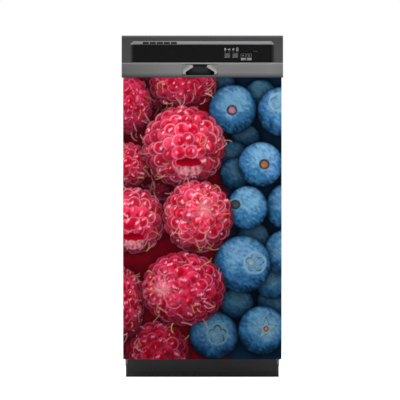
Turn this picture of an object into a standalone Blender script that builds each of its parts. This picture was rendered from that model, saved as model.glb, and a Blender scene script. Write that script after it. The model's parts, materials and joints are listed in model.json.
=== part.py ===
"""A slimline free-standing dishwasher: cabinet, drop-down door with a printed cover, racks and works.

Metres, +Z up, the door faces -Y, and the origin is under the middle of the machine on the floor.
"""

import math

import bmesh
import bpy
from mathutils import Matrix, Vector

OBJECT_NAME = "slimline_dishwasher"

# Overall size
WIDTH = 0.448
HEIGHT = 0.949
DEPTH = 0.572
FRONT = -DEPTH / 2
BACK = DEPTH / 2
GAP = 0.0003
SHEET = 0.0012
HALF = WIDTH / 2

# Door
DOOR_HALF = 0.2198
DOOR_BOTTOM = 0.0507
FASCIA_BOTTOM = 0.8325
COVER_FRONT = FRONT + 0.0038
COVER_THICK = 0.0008
PANEL_FRONT = COVER_FRONT + COVER_THICK + GAP
PANEL_RETURN = 0.014
HINGE_Y = -0.236
HINGE_Z = 0.105
FOOT_CLEARANCE = 0.004  # left around the door's foot where it swings into the cabinet
LINER_BACK = -0.226
LINER_FRONT = -0.2665
LINER_HALF = 0.2165
LINER_BOTTOM = 0.128
LINER_TOP = 0.9285

# Control fascia
FASCIA_FACE = FRONT + 0.0035
FASCIA_BACK = -0.230
STRIP_TOP = HEIGHT - 0.0754
FASCIA_WALL = 0.0025
RECESS_HALF = 0.1997
RECESS_TOP = HEIGHT - 0.015
RECESS_FLOOR = FASCIA_FACE + 0.0053
WINDOW_HALF = 0.192
WINDOW_TOP = HEIGHT - 0.026
WINDOW_THICK = 0.0025
VENT_COUNT = 5
VENT_PITCH = 0.0194
VENT_WIDTH = 0.017
VENT_FIRST = -HALF + 0.0586
KEY_SIZE = (0.0146, 0.0106)
KEY_PITCH = 0.01625
KEY_FIRST = -HALF + 0.3376
KEY_Z = HEIGHT - 0.0556
POCKET_CENTRE = -0.0065
POCKET_HALF = 0.049
POCKET_LOW = 0.8389
POCKET_HIGH = 0.8696

# Tub and cabinet
TUB_HALF = 0.196
TUB_FLOOR = 0.145
TUB_TOP = 0.915
TUB_FRONT = -0.2145
TUB_BACK = 0.250
TUB_FLANGE = 0.0125
SIDE_HALF = 0.218
CABINET_BOTTOM = 0.055
CABINET_TOP = 0.9435
TOP_THICK = 0.003
BASE_HALF = 0.2125
BASE_FRONT = -0.150
BASE_BACK = 0.280
BASE_BOTTOM = 0.016
BASE_TOP = 0.054
TOE_HALF = 0.213
TOE_FRONT = -0.180
TOE_TOP = 0.0545

# Wash works
SUMP_X = 0.0
SUMP_Y = 0.02
SUMP_RADIUS = 0.095
FILTER_SPOT = (0.032, -0.012)
FILTER_RADIUS = 0.028
HEATER_RADIUS = 0.140
FLOAT_SPOT = (-0.155, -0.170)
RISER_Y = 0.237
VALVE_SPOT = (-0.1425, 0.0363)
THREAD_RADIUS = 0.0132
LOWER_ARM = (0.172, 0.186)
UPPER_ARM = (0.535, 0.549)
ARM_REACH = 0.162

# Racks
RACK_HALF = 0.176
RACK_FRONT = -0.198
RACK_REAR = 0.222
LOWER_RACK = (0.215, 0.345)
UPPER_RACK = (0.562, 0.700)
WIRE = 0.004
ROLLER_RADIUS = 0.018
ROLLER_SPOTS = {"front": -0.100, "rear": 0.170}
RAIL_Z = (0.622, 0.634)
TINE_AXIS = (0.055, 0.223)

FINISHES = {
    "graphite_plastic": ("4a4a4b", 0.42, 0.0),
    "print_film": ("8c3448", 0.45, 0.0),
    "window_acrylic": ("100f0e", 0.10, 0.0),
    "black_plastic": ("222222", 0.45, 0.0),
    "toe_steel": ("2b2b2c", 0.50, 0.0),
    "cabinet_steel": ("3a3a3c", 0.45, 0.2),
    "stainless": ("b9bbbd", 0.28, 1.0),
    "zinc_steel": ("9a9da0", 0.40, 1.0),
    "grey_plastic": ("9ba0a4", 0.50, 0.0),
    "rack_vinyl": ("c3c8cc", 0.40, 0.0),
    "rubber": ("1c1c1c", 0.80, 0.0),
    "felt": ("35322e", 0.95, 0.0),
    "circuit_board": ("1f4a33", 0.50, 0.0),
}


def linear(channel):
    """sRGB channel, 0 to 1, as a linear value."""
    return channel / 12.92 if channel <= 0.04045 else ((channel + 0.055) / 1.055) ** 2.4


def make_material(name, code, roughness, metallic):
    material = bpy.data.materials.new(name)
    material.use_nodes = True
    shader = material.node_tree.nodes["Principled BSDF"]
    channels = [linear(int(code[i : i + 2], 16) / 255) for i in (0, 2, 4)]
    shader.inputs["Base Color"].default_value = (*channels, 1.0)
    shader.inputs["Roughness"].default_value = roughness
    shader.inputs["Metallic"].default_value = metallic
    return material


def start_scene():
    for obj in list(bpy.data.objects):
        bpy.data.objects.remove(obj, do_unlink=True)
    groups = {}
    for name in (OBJECT_NAME, "cutters"):
        groups[name] = bpy.data.collections.new(name)
        bpy.context.scene.collection.children.link(groups[name])
    materials = {name: make_material(name, *finish) for name, finish in FINISHES.items()}
    return groups[OBJECT_NAME], groups["cutters"], materials


PARTS, CUTTERS, MATERIALS = start_scene()


def add_mesh(name, form, finish):
    """A new object in the parts collection from a bmesh; a finish of None makes it a helper."""
    mesh = bpy.data.meshes.new(name)
    form.to_mesh(mesh)
    form.free()
    return place(name, mesh, finish)


def place(name, data, finish):
    obj = bpy.data.objects.new(name, data)
    if finish is None:
        CUTTERS.objects.link(obj)
        obj.hide_render = True
        obj.display_type = "WIRE"
    else:
        PARTS.objects.link(obj)
        obj.data.materials.append(MATERIALS[finish])
    return obj


def smooth(obj, angle=40):
    obj.data.shade_smooth()
    obj.data.set_sharp_from_angle(angle=math.radians(angle))
    return obj


def set_pivot(obj, point):
    """Moves the object's origin to point, leaving its shape where it is."""
    obj.data.transform(Matrix.Translation(-Vector(point)))
    obj.location = point
    return obj


def box(name, low, high, finish=None):
    form = bmesh.new()
    bmesh.ops.create_cube(form, size=1.0)
    size = [high[i] - low[i] for i in range(3)]
    centre = [(high[i] + low[i]) / 2 for i in range(3)]
    form.transform(Matrix.Translation(centre) @ Matrix.Diagonal((*size, 1.0)))
    return add_mesh(name, form, finish)


def boxes(name, spans):
    """A helper that holds several separate boxes."""
    form = bmesh.new()
    for low, high in spans:
        size = [high[i] - low[i] for i in range(3)]
        centre = [(high[i] + low[i]) / 2 for i in range(3)]
        matrix = Matrix.Translation(centre) @ Matrix.Diagonal((*size, 1.0))
        bmesh.ops.create_cube(form, size=1.0, matrix=matrix)
    return add_mesh(name, form, None)


def turn_to(axis):
    """The rotation that takes +Z to the named axis."""
    if axis == "X":
        return Matrix.Rotation(math.radians(90), 4, "Y")
    if axis == "Y":
        return Matrix.Rotation(math.radians(-90), 4, "X")
    return Matrix.Identity(4)


def cylinder(name, centre, radius, length, axis="Z", finish=None, segments=20):
    form = bmesh.new()
    bmesh.ops.create_cone(
        form,
        cap_ends=True,
        segments=segments,
        radius1=radius,
        radius2=radius,
        depth=length,
        matrix=Matrix.Translation(centre) @ turn_to(axis),
    )
    return smooth(add_mesh(name, form, finish))


def shell_box(name, low, high, open_sides, thickness, finish, offset=1.0):
    """A box of sheet with the faces on open_sides left out, such as "-Y" or "+Z"."""
    form = bmesh.new()
    bmesh.ops.create_cube(form, size=1.0)
    size = [high[i] - low[i] for i in range(3)]
    centre = [(high[i] + low[i]) / 2 for i in range(3)]
    form.transform(Matrix.Translation(centre) @ Matrix.Diagonal((*size, 1.0)))
    form.normal_update()
    gone = []
    for side in open_sides:
        sign = 1 if side[0] == "+" else -1
        axis = "XYZ".index(side[1])
        gone += [face for face in form.faces if face.normal[axis] * sign > 0.9]
    bmesh.ops.delete(form, geom=gone, context="FACES_ONLY")
    obj = add_mesh(name, form, finish)
    add_wall(obj, thickness, offset)
    return obj


def add_wall(obj, thickness, offset=-1.0):
    wall = obj.modifiers.new("wall", "SOLIDIFY")
    wall.thickness = thickness
    wall.offset = offset
    wall.use_even_offset = True
    return wall


def as_mesh(curve_object):
    """Turns a curve object into a welded mesh object in world space, with its faces pointing out."""
    graph = bpy.context.evaluated_depsgraph_get()
    graph.update()
    mesh = bpy.data.meshes.new_from_object(curve_object.evaluated_get(graph))
    form = bmesh.new()
    form.from_mesh(mesh)
    bmesh.ops.remove_doubles(form, verts=form.verts, dist=0.00002)
    form.transform(curve_object.matrix_world)
    bmesh.ops.recalc_face_normals(form, faces=form.faces)
    form.to_mesh(mesh)
    form.free()
    curve = curve_object.data
    bpy.data.objects.remove(curve_object, do_unlink=True)
    bpy.data.curves.remove(curve)
    return mesh


def plate(name, outline, low, high, axis, finish=None):
    """A flat outline made thick from low to high along axis.

    The outline's two coordinates are (y, z) for X, (x, z) for Y and (x, y) for Z.
    """
    curve = bpy.data.curves.new(name, "CURVE")
    curve.dimensions = "2D"
    curve.fill_mode = "BOTH"
    curve.extrude = (high - low) / 2
    spline = curve.splines.new("POLY")
    spline.points.add(len(outline) - 1)
    for point, spot in zip(spline.points, outline):
        point.co = (*spot, 0.0, 1.0)
    spline.use_cyclic_u = True
    holder = bpy.data.objects.new(name, curve)
    middle = (high + low) / 2
    frames = {
        "X": Matrix(((0, 0, 1, middle), (1, 0, 0, 0), (0, 1, 0, 0), (0, 0, 0, 1))),
        "Y": Matrix(((1, 0, 0, 0), (0, 0, -1, middle), (0, 1, 0, 0), (0, 0, 0, 1))),
        "Z": Matrix.Translation((0, 0, middle)),
    }
    CUTTERS.objects.link(holder)
    mesh = as_mesh(holder)
    mesh.transform(frames[axis])
    mesh.name = name
    return place(name, mesh, finish)


def tube(name, points, radius, finish, resolution=2, closed=False):
    """A round bar along points, with filled ends or closed on itself."""
    curve = bpy.data.curves.new(name, "CURVE")
    curve.dimensions = "3D"
    curve.bevel_depth = radius
    curve.bevel_resolution = resolution
    curve.use_fill_caps = not closed
    spline = curve.splines.new("POLY")
    spline.points.add(len(points) - 1)
    for point, spot in zip(spline.points, points):
        point.co = (*spot, 1.0)
    spline.use_cyclic_u = closed
    holder = bpy.data.objects.new(name, curve)
    CUTTERS.objects.link(holder)
    mesh = as_mesh(holder)
    mesh.name = name
    return smooth(place(name, mesh, finish), 50)


def turned(name, profile, centre, finish, steps=24):
    """A turned piece about a vertical axis: (radius, z) points that run down its outer side."""
    form = bmesh.new()
    spots = [form.verts.new((radius, 0.0, z)) for radius, z in profile]
    for first, second in zip(spots, spots[1:]):
        form.edges.new((first, second))
    obj = add_mesh(name, form, finish)
    obj.location = centre
    screw = obj.modifiers.new("turn", "SCREW")
    screw.steps = steps
    screw.render_steps = steps
    screw.use_merge_vertices = True
    screw.merge_threshold = 0.00005
    return obj


def cut(obj, cutter):
    boolean = obj.modifiers.new("cut", "BOOLEAN")
    boolean.operation = "DIFFERENCE"
    boolean.solver = "EXACT"
    boolean.object = cutter


def fuse(obj, extra):
    """Joins a helper to obj. The two must pass into each other."""
    boolean = obj.modifiers.new("join", "BOOLEAN")
    boolean.operation = "UNION"
    boolean.solver = "EXACT"
    boolean.object = extra


def round_edges(obj, width, segments=2):
    bevel = obj.modifiers.new("round", "BEVEL")
    bevel.width = width
    bevel.segments = segments
    bevel.limit_method = "ANGLE"
    bevel.angle_limit = math.radians(40)


def rounded_outline(low, high, radius, steps=3):
    """A rectangle with round corners, from its low and high corners."""
    centres = [
        (high[0] - radius, high[1] - radius, 0),
        (low[0] + radius, high[1] - radius, 90),
        (low[0] + radius, low[1] + radius, 180),
        (high[0] - radius, low[1] + radius, 270),
    ]
    spots = []
    for x, z, start in centres:
        for step in range(steps + 1):
            angle = math.radians(start + 90 * step / steps)
            spots.append((x + radius * math.cos(angle), z + radius * math.sin(angle)))
    return spots


def mirror_names(side):
    """-1 and "left", or 1 and "right": left is at -X, as seen from the front."""
    return -1 if side == "left" else 1


def span(side, near, far):
    """Low and high X of a piece from near to far out on one side."""
    sign = mirror_names(side)
    return min(sign * near, sign * far), max(sign * near, sign * far)


# Cabinet and base


def base_pan():
    pan = shell_box(
        "base_pan",
        (-BASE_HALF, BASE_FRONT, BASE_BOTTOM),
        (BASE_HALF, BASE_BACK, BASE_TOP),
        ["+Z"],
        0.002,
        "zinc_steel",
        -1.0,
    )
    port_spot = (VALVE_SPOT[0], BASE_BACK, VALVE_SPOT[1])
    port = cylinder("valve_port", port_spot, THREAD_RADIUS + 0.001, 0.02, "Y")
    cut(pan, port)


def toe_kick():
    outline = [
        (-TOE_HALF, BASE_FRONT - 0.002),
        (-TOE_HALF, TOE_FRONT),
        (TOE_HALF, TOE_FRONT),
        (TOE_HALF, BASE_FRONT - 0.002),
        (TOE_HALF - 0.0015, BASE_FRONT - 0.002),
        (TOE_HALF - 0.0015, TOE_FRONT + 0.0015),
        (-TOE_HALF + 0.0015, TOE_FRONT + 0.0015),
        (-TOE_HALF + 0.0015, BASE_FRONT - 0.002),
    ]
    plate("toe_kick", outline, 0.002, TOE_TOP, "Z", "toe_steel")


def tub():
    """A deep drawn box, open to the front, with a flat flange around its mouth."""
    form = bmesh.new()
    low = (-TUB_HALF, TUB_FRONT, TUB_FLOOR)
    high = (TUB_HALF, TUB_BACK, TUB_TOP)
    size = [high[i] - low[i] for i in range(3)]
    centre = [(high[i] + low[i]) / 2 for i in range(3)]
    form_matrix = Matrix.Translation(centre) @ Matrix.Diagonal((*size, 1.0))
    bmesh.ops.create_cube(form, size=1.0, matrix=form_matrix)
    form.normal_update()
    front = [face for face in form.faces if face.normal.y < -0.9]
    bmesh.ops.delete(form, geom=front, context="FACES_ONLY")
    rim = [edge for edge in form.edges if edge.is_boundary]
    grown = bmesh.ops.extrude_edge_only(form, edges=rim)["geom"]
    for vert in [item for item in grown if isinstance(item, bmesh.types.BMVert)]:
        vert.co.x += math.copysign(TUB_FLANGE, vert.co.x)
        vert.co.z += math.copysign(TUB_FLANGE, vert.co.z - centre[2])
    obj = add_mesh("tub", form, "stainless")
    add_wall(obj, SHEET, 1.0)
    cut(obj, cylinder("sump_hole", (SUMP_X, SUMP_Y, TUB_FLOOR), SUMP_RADIUS + 0.003, 0.02, segments=32))
    for number, (x, y, radius) in enumerate(floor_holes()):
        cut(obj, cylinder(f"floor_hole_{number}", (x, y, TUB_FLOOR), radius, 0.02, segments=12))
    return obj


def floor_holes():
    """Where the riser, the float's stem and the heater's two ends pass the tub's floor: x, y, radius."""
    ends = [(x, SUMP_Y - HEATER_RADIUS - 0.01, 0.0055) for x in (-0.012, 0.012)]
    return [(0.0, RISER_Y, 0.0110), (*FLOAT_SPOT, 0.0050)] + ends


def side_panel(side):
    """A flat side with a narrow return along the front, notched where the open door's foot swings in."""
    sign = mirror_names(side)
    outer = sign * SIDE_HALF
    inner = sign * (SIDE_HALF - SHEET)
    lip = sign * (TUB_HALF + TUB_FLANGE + 0.001)
    front = TUB_FRONT + 0.0002
    outline = [
        (outer, front),
        (outer, BACK - 0.002),
        (inner, BACK - 0.002),
        (inner, front + SHEET),
        (lip, front + SHEET),
        (lip, front),
    ]
    panel = plate(f"side_panel_{side}", outline, CABINET_BOTTOM, CABINET_TOP, "Z", "cabinet_steel")
    low, high = span(side, 0.20, SIDE_HALF - SHEET)
    notch = box(f"side_notch_{side}", (low, front - 0.01, 0.04), (high, front + 0.01, 0.150))
    cut(panel, notch)
    foot_reach = HINGE_Y + HINGE_Z - DOOR_BOTTOM + FOOT_CLEARANCE
    foot_height = HINGE_Z + PANEL_FRONT + PANEL_RETURN - HINGE_Y + FOOT_CLEARANCE
    low, high = span(side, 0.20, SIDE_HALF + 0.01)
    foot_notch = box(f"foot_notch_{side}", (low, front - 0.01, 0.04), (high, foot_reach, foot_height))
    cut(panel, foot_notch)


def rear_and_top():
    half = SIDE_HALF - SHEET - GAP
    box("rear_panel", (-half, BACK - SHEET, 0.115), (half, BACK, CABINET_TOP), "cabinet_steel")
    top = box(
        "top_panel",
        (-SIDE_HALF - 0.001, TUB_FRONT + 0.002, CABINET_TOP + GAP),
        (SIDE_HALF + 0.001, BACK, CABINET_TOP + GAP + TOP_THICK),
        "cabinet_steel",
    )
    round_edges(top, 0.001, 1)


def tub_gasket():
    """A bulb seal around the tub's mouth, pressed by the closed door."""
    reach = 0.006
    low = (-TUB_HALF - reach, TUB_FLOOR - reach)
    high = (TUB_HALF + reach, TUB_TOP + reach)
    y = (TUB_FRONT + LINER_BACK) / 2
    points = [(x, y, z) for x, z in rounded_outline(low, high, 0.015)]
    tube("tub_gasket", points, 0.0052, "rubber", resolution=1, closed=True)


def sump():
    """The bowl under the tub's floor that holds the filters."""
    top = TUB_FLOOR - SHEET - GAP
    profile = [
        (SUMP_RADIUS, top - 0.002),
        (SUMP_RADIUS - 0.008, 0.115),
        (0.080, 0.098),
        (0.055, 0.085),
        (0.0, 0.085),
    ]
    profile = [(SUMP_RADIUS + 0.016, top - 0.002)] + profile
    bowl = turned("sump", profile, (SUMP_X, SUMP_Y, 0), "black_plastic", 28)
    add_wall(bowl, 0.002, 1.0)


def filter_plate():
    centre = (SUMP_X, SUMP_Y, TUB_FLOOR + 0.0015)
    disc = cylinder("filter_plate", centre, SUMP_RADIUS, 0.002, "Z", "stainless", 32)
    x, y = FILTER_SPOT
    cut(disc, cylinder("filter_well", (x, y, TUB_FLOOR), FILTER_RADIUS + 0.001, 0.02, segments=20))
    hub = cylinder("arm_post", (SUMP_X, SUMP_Y, TUB_FLOOR + 0.013), 0.010, 0.025, segments=16)
    fuse(disc, hub)


def pumps_and_fittings():
    floor = BASE_BOTTOM + 0.002 + GAP
    wash = cylinder("circulation_pump", (-0.03, 0.06, floor + 0.027), 0.027, 0.13, "X", "black_plastic", 20)
    fuse(wash, cylinder("wash_outlet", (0.02, 0.05, floor + 0.045), 0.010, 0.030, "Z"))
    drain = cylinder("drain_pump", (0.12, -0.06, floor + 0.020), 0.020, 0.07, "Y", "black_plastic", 20)
    fuse(drain, cylinder("drain_outlet", (0.12, -0.04, floor + 0.038), 0.007, 0.016, "Z"))
    valve = box("inlet_valve", (-0.165, 0.225, floor), (-0.120, 0.268, floor + 0.036), "grey_plastic")
    fuse(valve, cylinder("valve_thread", (VALVE_SPOT[0], 0.276, VALVE_SPOT[1]), THREAD_RADIUS, 0.020, "Y"))
    case = box("terminal_box", (0.110, 0.220, floor), (0.170, 0.272, floor + 0.034), "grey_plastic")
    round_edges(case, 0.003, 1)


def spray_riser():
    """The pipe up the back of the tub, with its mouth facing the upper rack."""
    top = UPPER_ARM[1] + 0.006
    points = [
        (0.0, RISER_Y, 0.120),
        (0.0, RISER_Y, top - 0.012),
        (0.0, RISER_Y - 0.002, top - 0.004),
        (0.0, RISER_Y - 0.006, top),
        (0.0, RISER_Y - 0.012, top),
    ]
    tube("spray_riser", points, 0.0095, "grey_plastic", resolution=2)


def heating_element():
    """A ring on the tub's floor whose two ends go down through it."""
    count = 28
    opening = math.asin(0.012 / HEATER_RADIUS)
    z = TUB_FLOOR + 0.010
    ring = []
    for step in range(count + 1):
        angle = -math.pi / 2 + opening + (2 * math.pi - 2 * opening) * step / count
        x = SUMP_X + HEATER_RADIUS * math.cos(angle)
        y = SUMP_Y + HEATER_RADIUS * math.sin(angle)
        ring.append((x, y, z))
    end_y = SUMP_Y - HEATER_RADIUS - 0.01
    first = [(0.012, end_y, 0.130), (0.012, end_y, z - 0.004), (0.012, end_y + 0.005, z)]
    last = [(-x, y, height) for x, y, height in reversed(first)]
    tube("heating_element", first + ring + last, 0.0035, "zinc_steel", resolution=1)


def latch_strike():
    top = CABINET_TOP
    outline = [
        (-0.2125, top - 0.0025),
        (-0.2113, top - 0.0025),
        (-0.2113, top - 0.0012),
        (-0.190, top - 0.0012),
        (-0.190, top),
        (-0.2125, top),
    ]
    plate("latch_strike", outline, -0.016, 0.016, "X", "zinc_steel")


def hinge_bracket(side):
    """A plate on the base's side that carries the door's pivot pin."""
    outline = [
        (HINGE_Y - 0.009, HINGE_Z - 0.009),
        (HINGE_Y + 0.055, HINGE_Z - 0.011),
        (BASE_FRONT + 0.004, 0.070),
        (BASE_FRONT + 0.004, 0.030),
        (BASE_FRONT + 0.045, 0.030),
        (BASE_FRONT + 0.045, HINGE_Z),
        (HINGE_Y + 0.040, HINGE_Z + 0.012),
        (HINGE_Y - 0.009, HINGE_Z + 0.009),
    ]
    low, high = span(side, BASE_HALF + 0.0015, BASE_HALF + 0.0030)
    bracket = plate(f"hinge_bracket_{side}", outline, low, high, "X", "zinc_steel")
    sign = mirror_names(side)
    pin_centre = (sign * (BASE_HALF - 0.0010), HINGE_Y, HINGE_Z)
    fuse(bracket, cylinder(f"pin_{side}", pin_centre, 0.003, 0.007, "X", segments=12))


def door_spring(side):
    """The spring's outer shape, from the hinge arm's lever back to the base."""
    sign = mirror_names(side)
    x = sign * 0.2055
    cylinder(f"door_spring_{side}", (x, -0.080, 0.1135), 0.0052, 0.20, "Y", "zinc_steel", 12)


def air_breaker():
    low = (-SIDE_HALF + SHEET + GAP, -0.12, 0.30)
    high = (-TUB_HALF - SHEET - GAP, 0.12, 0.80)
    block = box("air_breaker", low, high, "grey_plastic")
    round_edges(block, 0.004, 1)


def levelling_foot(name, x, y):
    profile = [
        (0.0, BASE_BOTTOM - GAP),
        (0.005, BASE_BOTTOM - GAP),
        (0.005, 0.008),
        (0.015, 0.006),
        (0.016, 0.0045),
        (0.016, 0.0),
        (0.0, 0.0),
    ]
    turned(name, profile, (x, y, 0.0), "black_plastic", 16)


def cabinet():
    base_pan()
    toe_kick()
    tub()
    rear_and_top()
    tub_gasket()
    sump()
    filter_plate()
    pumps_and_fittings()
    spray_riser()
    heating_element()
    latch_strike()
    air_breaker()
    for side in ("left", "right"):
        side_panel(side)
        hinge_bracket(side)
        door_spring(side)
        sign = mirror_names(side)
        levelling_foot(f"foot_front_{side}", sign * 0.180, -0.125)
        levelling_foot(f"foot_rear_{side}", sign * 0.180, 0.250)


# Door


def door_outer_panel():
    shell_box(
        "door_outer_panel",
        (-DOOR_HALF, PANEL_FRONT, DOOR_BOTTOM),
        (DOOR_HALF, PANEL_FRONT + PANEL_RETURN, FASCIA_BOTTOM - GAP),
        ["+Y"],
        SHEET,
        "toe_steel",
        -1.0,
    )


def print_cover():
    """A thin printed magnetic sheet that covers the door's face."""
    low = (-DOOR_HALF, COVER_FRONT, DOOR_BOTTOM)
    high = (DOOR_HALF, COVER_FRONT + COVER_THICK, FASCIA_BOTTOM - GAP)
    box("print_cover", low, high, "print_film")


def door_inner_liner():
    """The stainless inner face of the door, a pan open to the front and underneath."""
    liner = shell_box(
        "door_inner_liner",
        (-LINER_HALF, LINER_FRONT, LINER_BOTTOM),
        (LINER_HALF, LINER_BACK, LINER_TOP),
        ["-Y", "-Z"],
        0.001,
        "stainless",
        -1.0,
    )
    x0, z0, x1, z1 = dispenser_span()
    hole = box("dispenser_hole", (x0 - GAP, -0.24, z0 - GAP), (x1 + GAP, -0.21, z1 + GAP))
    cut(liner, hole)


def dispenser_span():
    """Low x, low z, high x and high z of the dispenser's body."""
    return -0.045, 0.500, 0.115, 0.615


def fascia_body():
    """A hollow cap over the door's top: a flat face with a proud, rounded strip below it."""
    outer = [
        (FASCIA_BACK, FASCIA_BOTTOM),
        (-0.2815, FASCIA_BOTTOM),
        (FRONT + 0.0008, FASCIA_BOTTOM + 0.0035),
        (FRONT, FASCIA_BOTTOM + 0.014),
        (FRONT, STRIP_TOP - 0.010),
        (FRONT + 0.0010, STRIP_TOP - 0.003),
        (FASCIA_FACE, STRIP_TOP),
        (FASCIA_FACE, HEIGHT - 0.005),
        (FASCIA_FACE + 0.003, HEIGHT),
        (FASCIA_BACK, HEIGHT),
    ]
    body = plate("control_fascia", outer, -HALF, HALF, "X", "graphite_plastic")
    wall = FASCIA_WALL
    deep = RECESS_FLOOR + wall
    inner = [
        (-0.20, 0.80),
        (-0.268, 0.80),
        (-0.268, FASCIA_BOTTOM + wall),
        (FRONT + 0.006, FASCIA_BOTTOM + wall),
        (FRONT + 0.006, STRIP_TOP - 0.002),
        (deep, STRIP_TOP - 0.002),
        (deep, HEIGHT - wall),
        (-0.20, HEIGHT - wall),
    ]
    cut(body, plate("fascia_hollow", inner, -HALF + wall, HALF - wall, "X"))
    return body


def recess_cutter():
    """The window's recess: a flat floor, sloping sides and a sloping ledge along the top."""
    low_z = STRIP_TOP + 0.0007
    corner = 0.008
    outline = [
        (-RECESS_HALF, low_z),
        (RECESS_HALF, low_z),
        (RECESS_HALF, RECESS_TOP - corner),
        (RECESS_HALF - corner, RECESS_TOP),
        (-RECESS_HALF + corner, RECESS_TOP),
        (-RECESS_HALF, RECESS_TOP - corner),
    ]
    cutter = plate("window_recess", outline, FASCIA_FACE, RECESS_FLOOR, "Y")
    floor_half = WINDOW_HALF + 0.0005
    floor_top = WINDOW_TOP + 0.0005
    nick = 0.0004
    for vert in cutter.data.vertices:
        if vert.co.y < (FASCIA_FACE + RECESS_FLOOR) / 2:
            vert.co.y = FASCIA_FACE - 0.00005
            continue
        at_side = abs(vert.co.x) > RECESS_HALF - nick
        vert.co.x = math.copysign(floor_half if at_side else floor_half - nick, vert.co.x)
        if vert.co.z > RECESS_TOP - nick:
            vert.co.z = floor_top
        elif vert.co.z > low_z + nick:
            vert.co.z = floor_top - nick
    return cutter


def vent_cutter():
    spans = []
    for number in range(VENT_COUNT):
        x = VENT_FIRST + number * VENT_PITCH
        low = (x, FASCIA_FACE - 0.002, RECESS_TOP - 0.0090)
        high = (x + VENT_WIDTH, RECESS_FLOOR + 0.006, RECESS_TOP - 0.0025)
        spans.append((low, high))
    return boxes("vent_slots", spans)


def key_holes(name, grow, low_y, high_y):
    spans = []
    for number in range(2):
        x = KEY_FIRST + number * KEY_PITCH
        low = (x - KEY_SIZE[0] / 2 - grow, low_y, KEY_Z - KEY_SIZE[1] / 2 - grow)
        high = (x + KEY_SIZE[0] / 2 + grow, high_y, KEY_Z + KEY_SIZE[1] / 2 + grow)
        spans.append((low, high))
    return boxes(name, spans)


def control_fascia():
    body = fascia_body()
    cut(body, recess_cutter())
    cut(body, vent_cutter())
    cut(body, key_holes("fascia_key_holes", 0.0003, RECESS_FLOOR - 0.004, RECESS_FLOOR + 0.01))
    low = (POCKET_CENTRE - POCKET_HALF, FRONT - 0.01, POCKET_LOW)
    high = (POCKET_CENTRE + POCKET_HALF, FRONT + 0.012, POCKET_HIGH)
    cut(body, box("pocket_mouth", low, high))


def display_window():
    back = RECESS_FLOOR - GAP
    low = (-WINDOW_HALF, back - WINDOW_THICK, STRIP_TOP + 0.0012)
    high = (WINDOW_HALF, back, WINDOW_TOP)
    window = box("display_window", low, high, "window_acrylic")
    cut(window, key_holes("window_key_holes", 0.0003, back - 0.01, back + 0.01))


def panel_key(name, number):
    """A key that stands just proud of the window and is pressed inwards."""
    x = KEY_FIRST + number * KEY_PITCH
    front = RECESS_FLOOR - GAP - WINDOW_THICK - 0.0005
    low = (x - KEY_SIZE[0] / 2, front, KEY_Z - KEY_SIZE[1] / 2)
    high = (x + KEY_SIZE[0] / 2, front + 0.0075, KEY_Z + KEY_SIZE[1] / 2)
    key = box(name, low, high, "window_acrylic")
    round_edges(key, 0.0008, 2)
    set_pivot(key, (x, front, KEY_Z))


def control_board():
    low_y = RECESS_FLOOR + FASCIA_WALL + 0.0035
    box("control_board", (-0.16, low_y, 0.880), (0.16, low_y + 0.0016, 0.918), "circuit_board")


def pocket_cup():
    """The finger pocket behind the fascia's mouth, narrowing towards its back."""
    front = FRONT + 0.0063
    back = -0.2570
    low = (POCKET_CENTRE - POCKET_HALF, front, POCKET_LOW)
    high = (POCKET_CENTRE + POCKET_HALF, back, POCKET_HIGH)
    cup = shell_box("pocket_cup", low, high, ["-Y"], 0.0015, "black_plastic", 1.0)
    for vert in cup.data.vertices:
        if vert.co.y > (front + back) / 2:
            vert.co.x = POCKET_CENTRE + (vert.co.x - POCKET_CENTRE) * 0.60
            vert.co.z = POCKET_HIGH - 0.002 + (vert.co.z - POCKET_HIGH) * 0.75


def latch_lever():
    """The paddle in the pocket that is pulled to free the door."""
    low = (POCKET_CENTRE - 0.024, -0.2612, 0.8485)
    high = (POCKET_CENTRE + 0.024, -0.2585, 0.8650)
    lever = box("latch_lever", low, high, "black_plastic")
    round_edges(lever, 0.0008, 1)
    set_pivot(lever, (POCKET_CENTRE, -0.2598, 0.8640))


def latch_catch():
    """The hook that reaches over the tub's flange to the strike."""
    outline = [
        (-0.258, 0.9335),
        (-0.206, 0.9350),
        (-0.198, 0.9365),
        (-0.1985, 0.9385),
        (-0.2065, 0.9385),
        (-0.2080, 0.9395),
        (-0.2100, 0.9395),
        (-0.2110, 0.9380),
        (-0.258, 0.9395),
    ]
    catch = plate("latch_catch", outline, -0.005, 0.005, "X", "zinc_steel")
    set_pivot(catch, (0.0, -0.2550, 0.9365))


def dispenser():
    """The dispenser's body, with an open cup for powder and a seat for the rinse-aid cap."""
    x0, z0, x1, z1 = dispenser_span()
    body = box("dispenser_body", (x0, -0.262, z0), (x1, -0.2225, z1), "grey_plastic")
    cut(body, box("powder_cup", (x0 + 0.012, -0.252, z0 + 0.025), (x0 + 0.072, -0.21, z0 + 0.090)))
    lid = box(
        "detergent_lid",
        (x0 + 0.006, -0.2220, z0 + 0.019),
        (x0 + 0.078, -0.2200, z0 + 0.096),
        "grey_plastic",
    )
    round_edges(lid, 0.0006, 1)
    cap_spot = (x1 - 0.026, -0.2192, z0 + 0.056)
    cap = cylinder("rinse_cap", cap_spot, 0.018, 0.0056, "Y", "black_plastic", 24)
    grip_low = (cap_spot[0] - 0.014, -0.2175, cap_spot[2] - 0.002)
    grip_high = (cap_spot[0] + 0.014, -0.2145, cap_spot[2] + 0.002)
    grip = box("rinse_grip", grip_low, grip_high)
    fuse(cap, grip)
    set_pivot(cap, cap_spot)
    set_pivot(grip, cap_spot)


def sound_pad():
    back = PANEL_FRONT + SHEET + GAP
    box("sound_pad", (-0.205, back, 0.140), (0.205, back + 0.008, 0.800), "felt")


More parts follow.
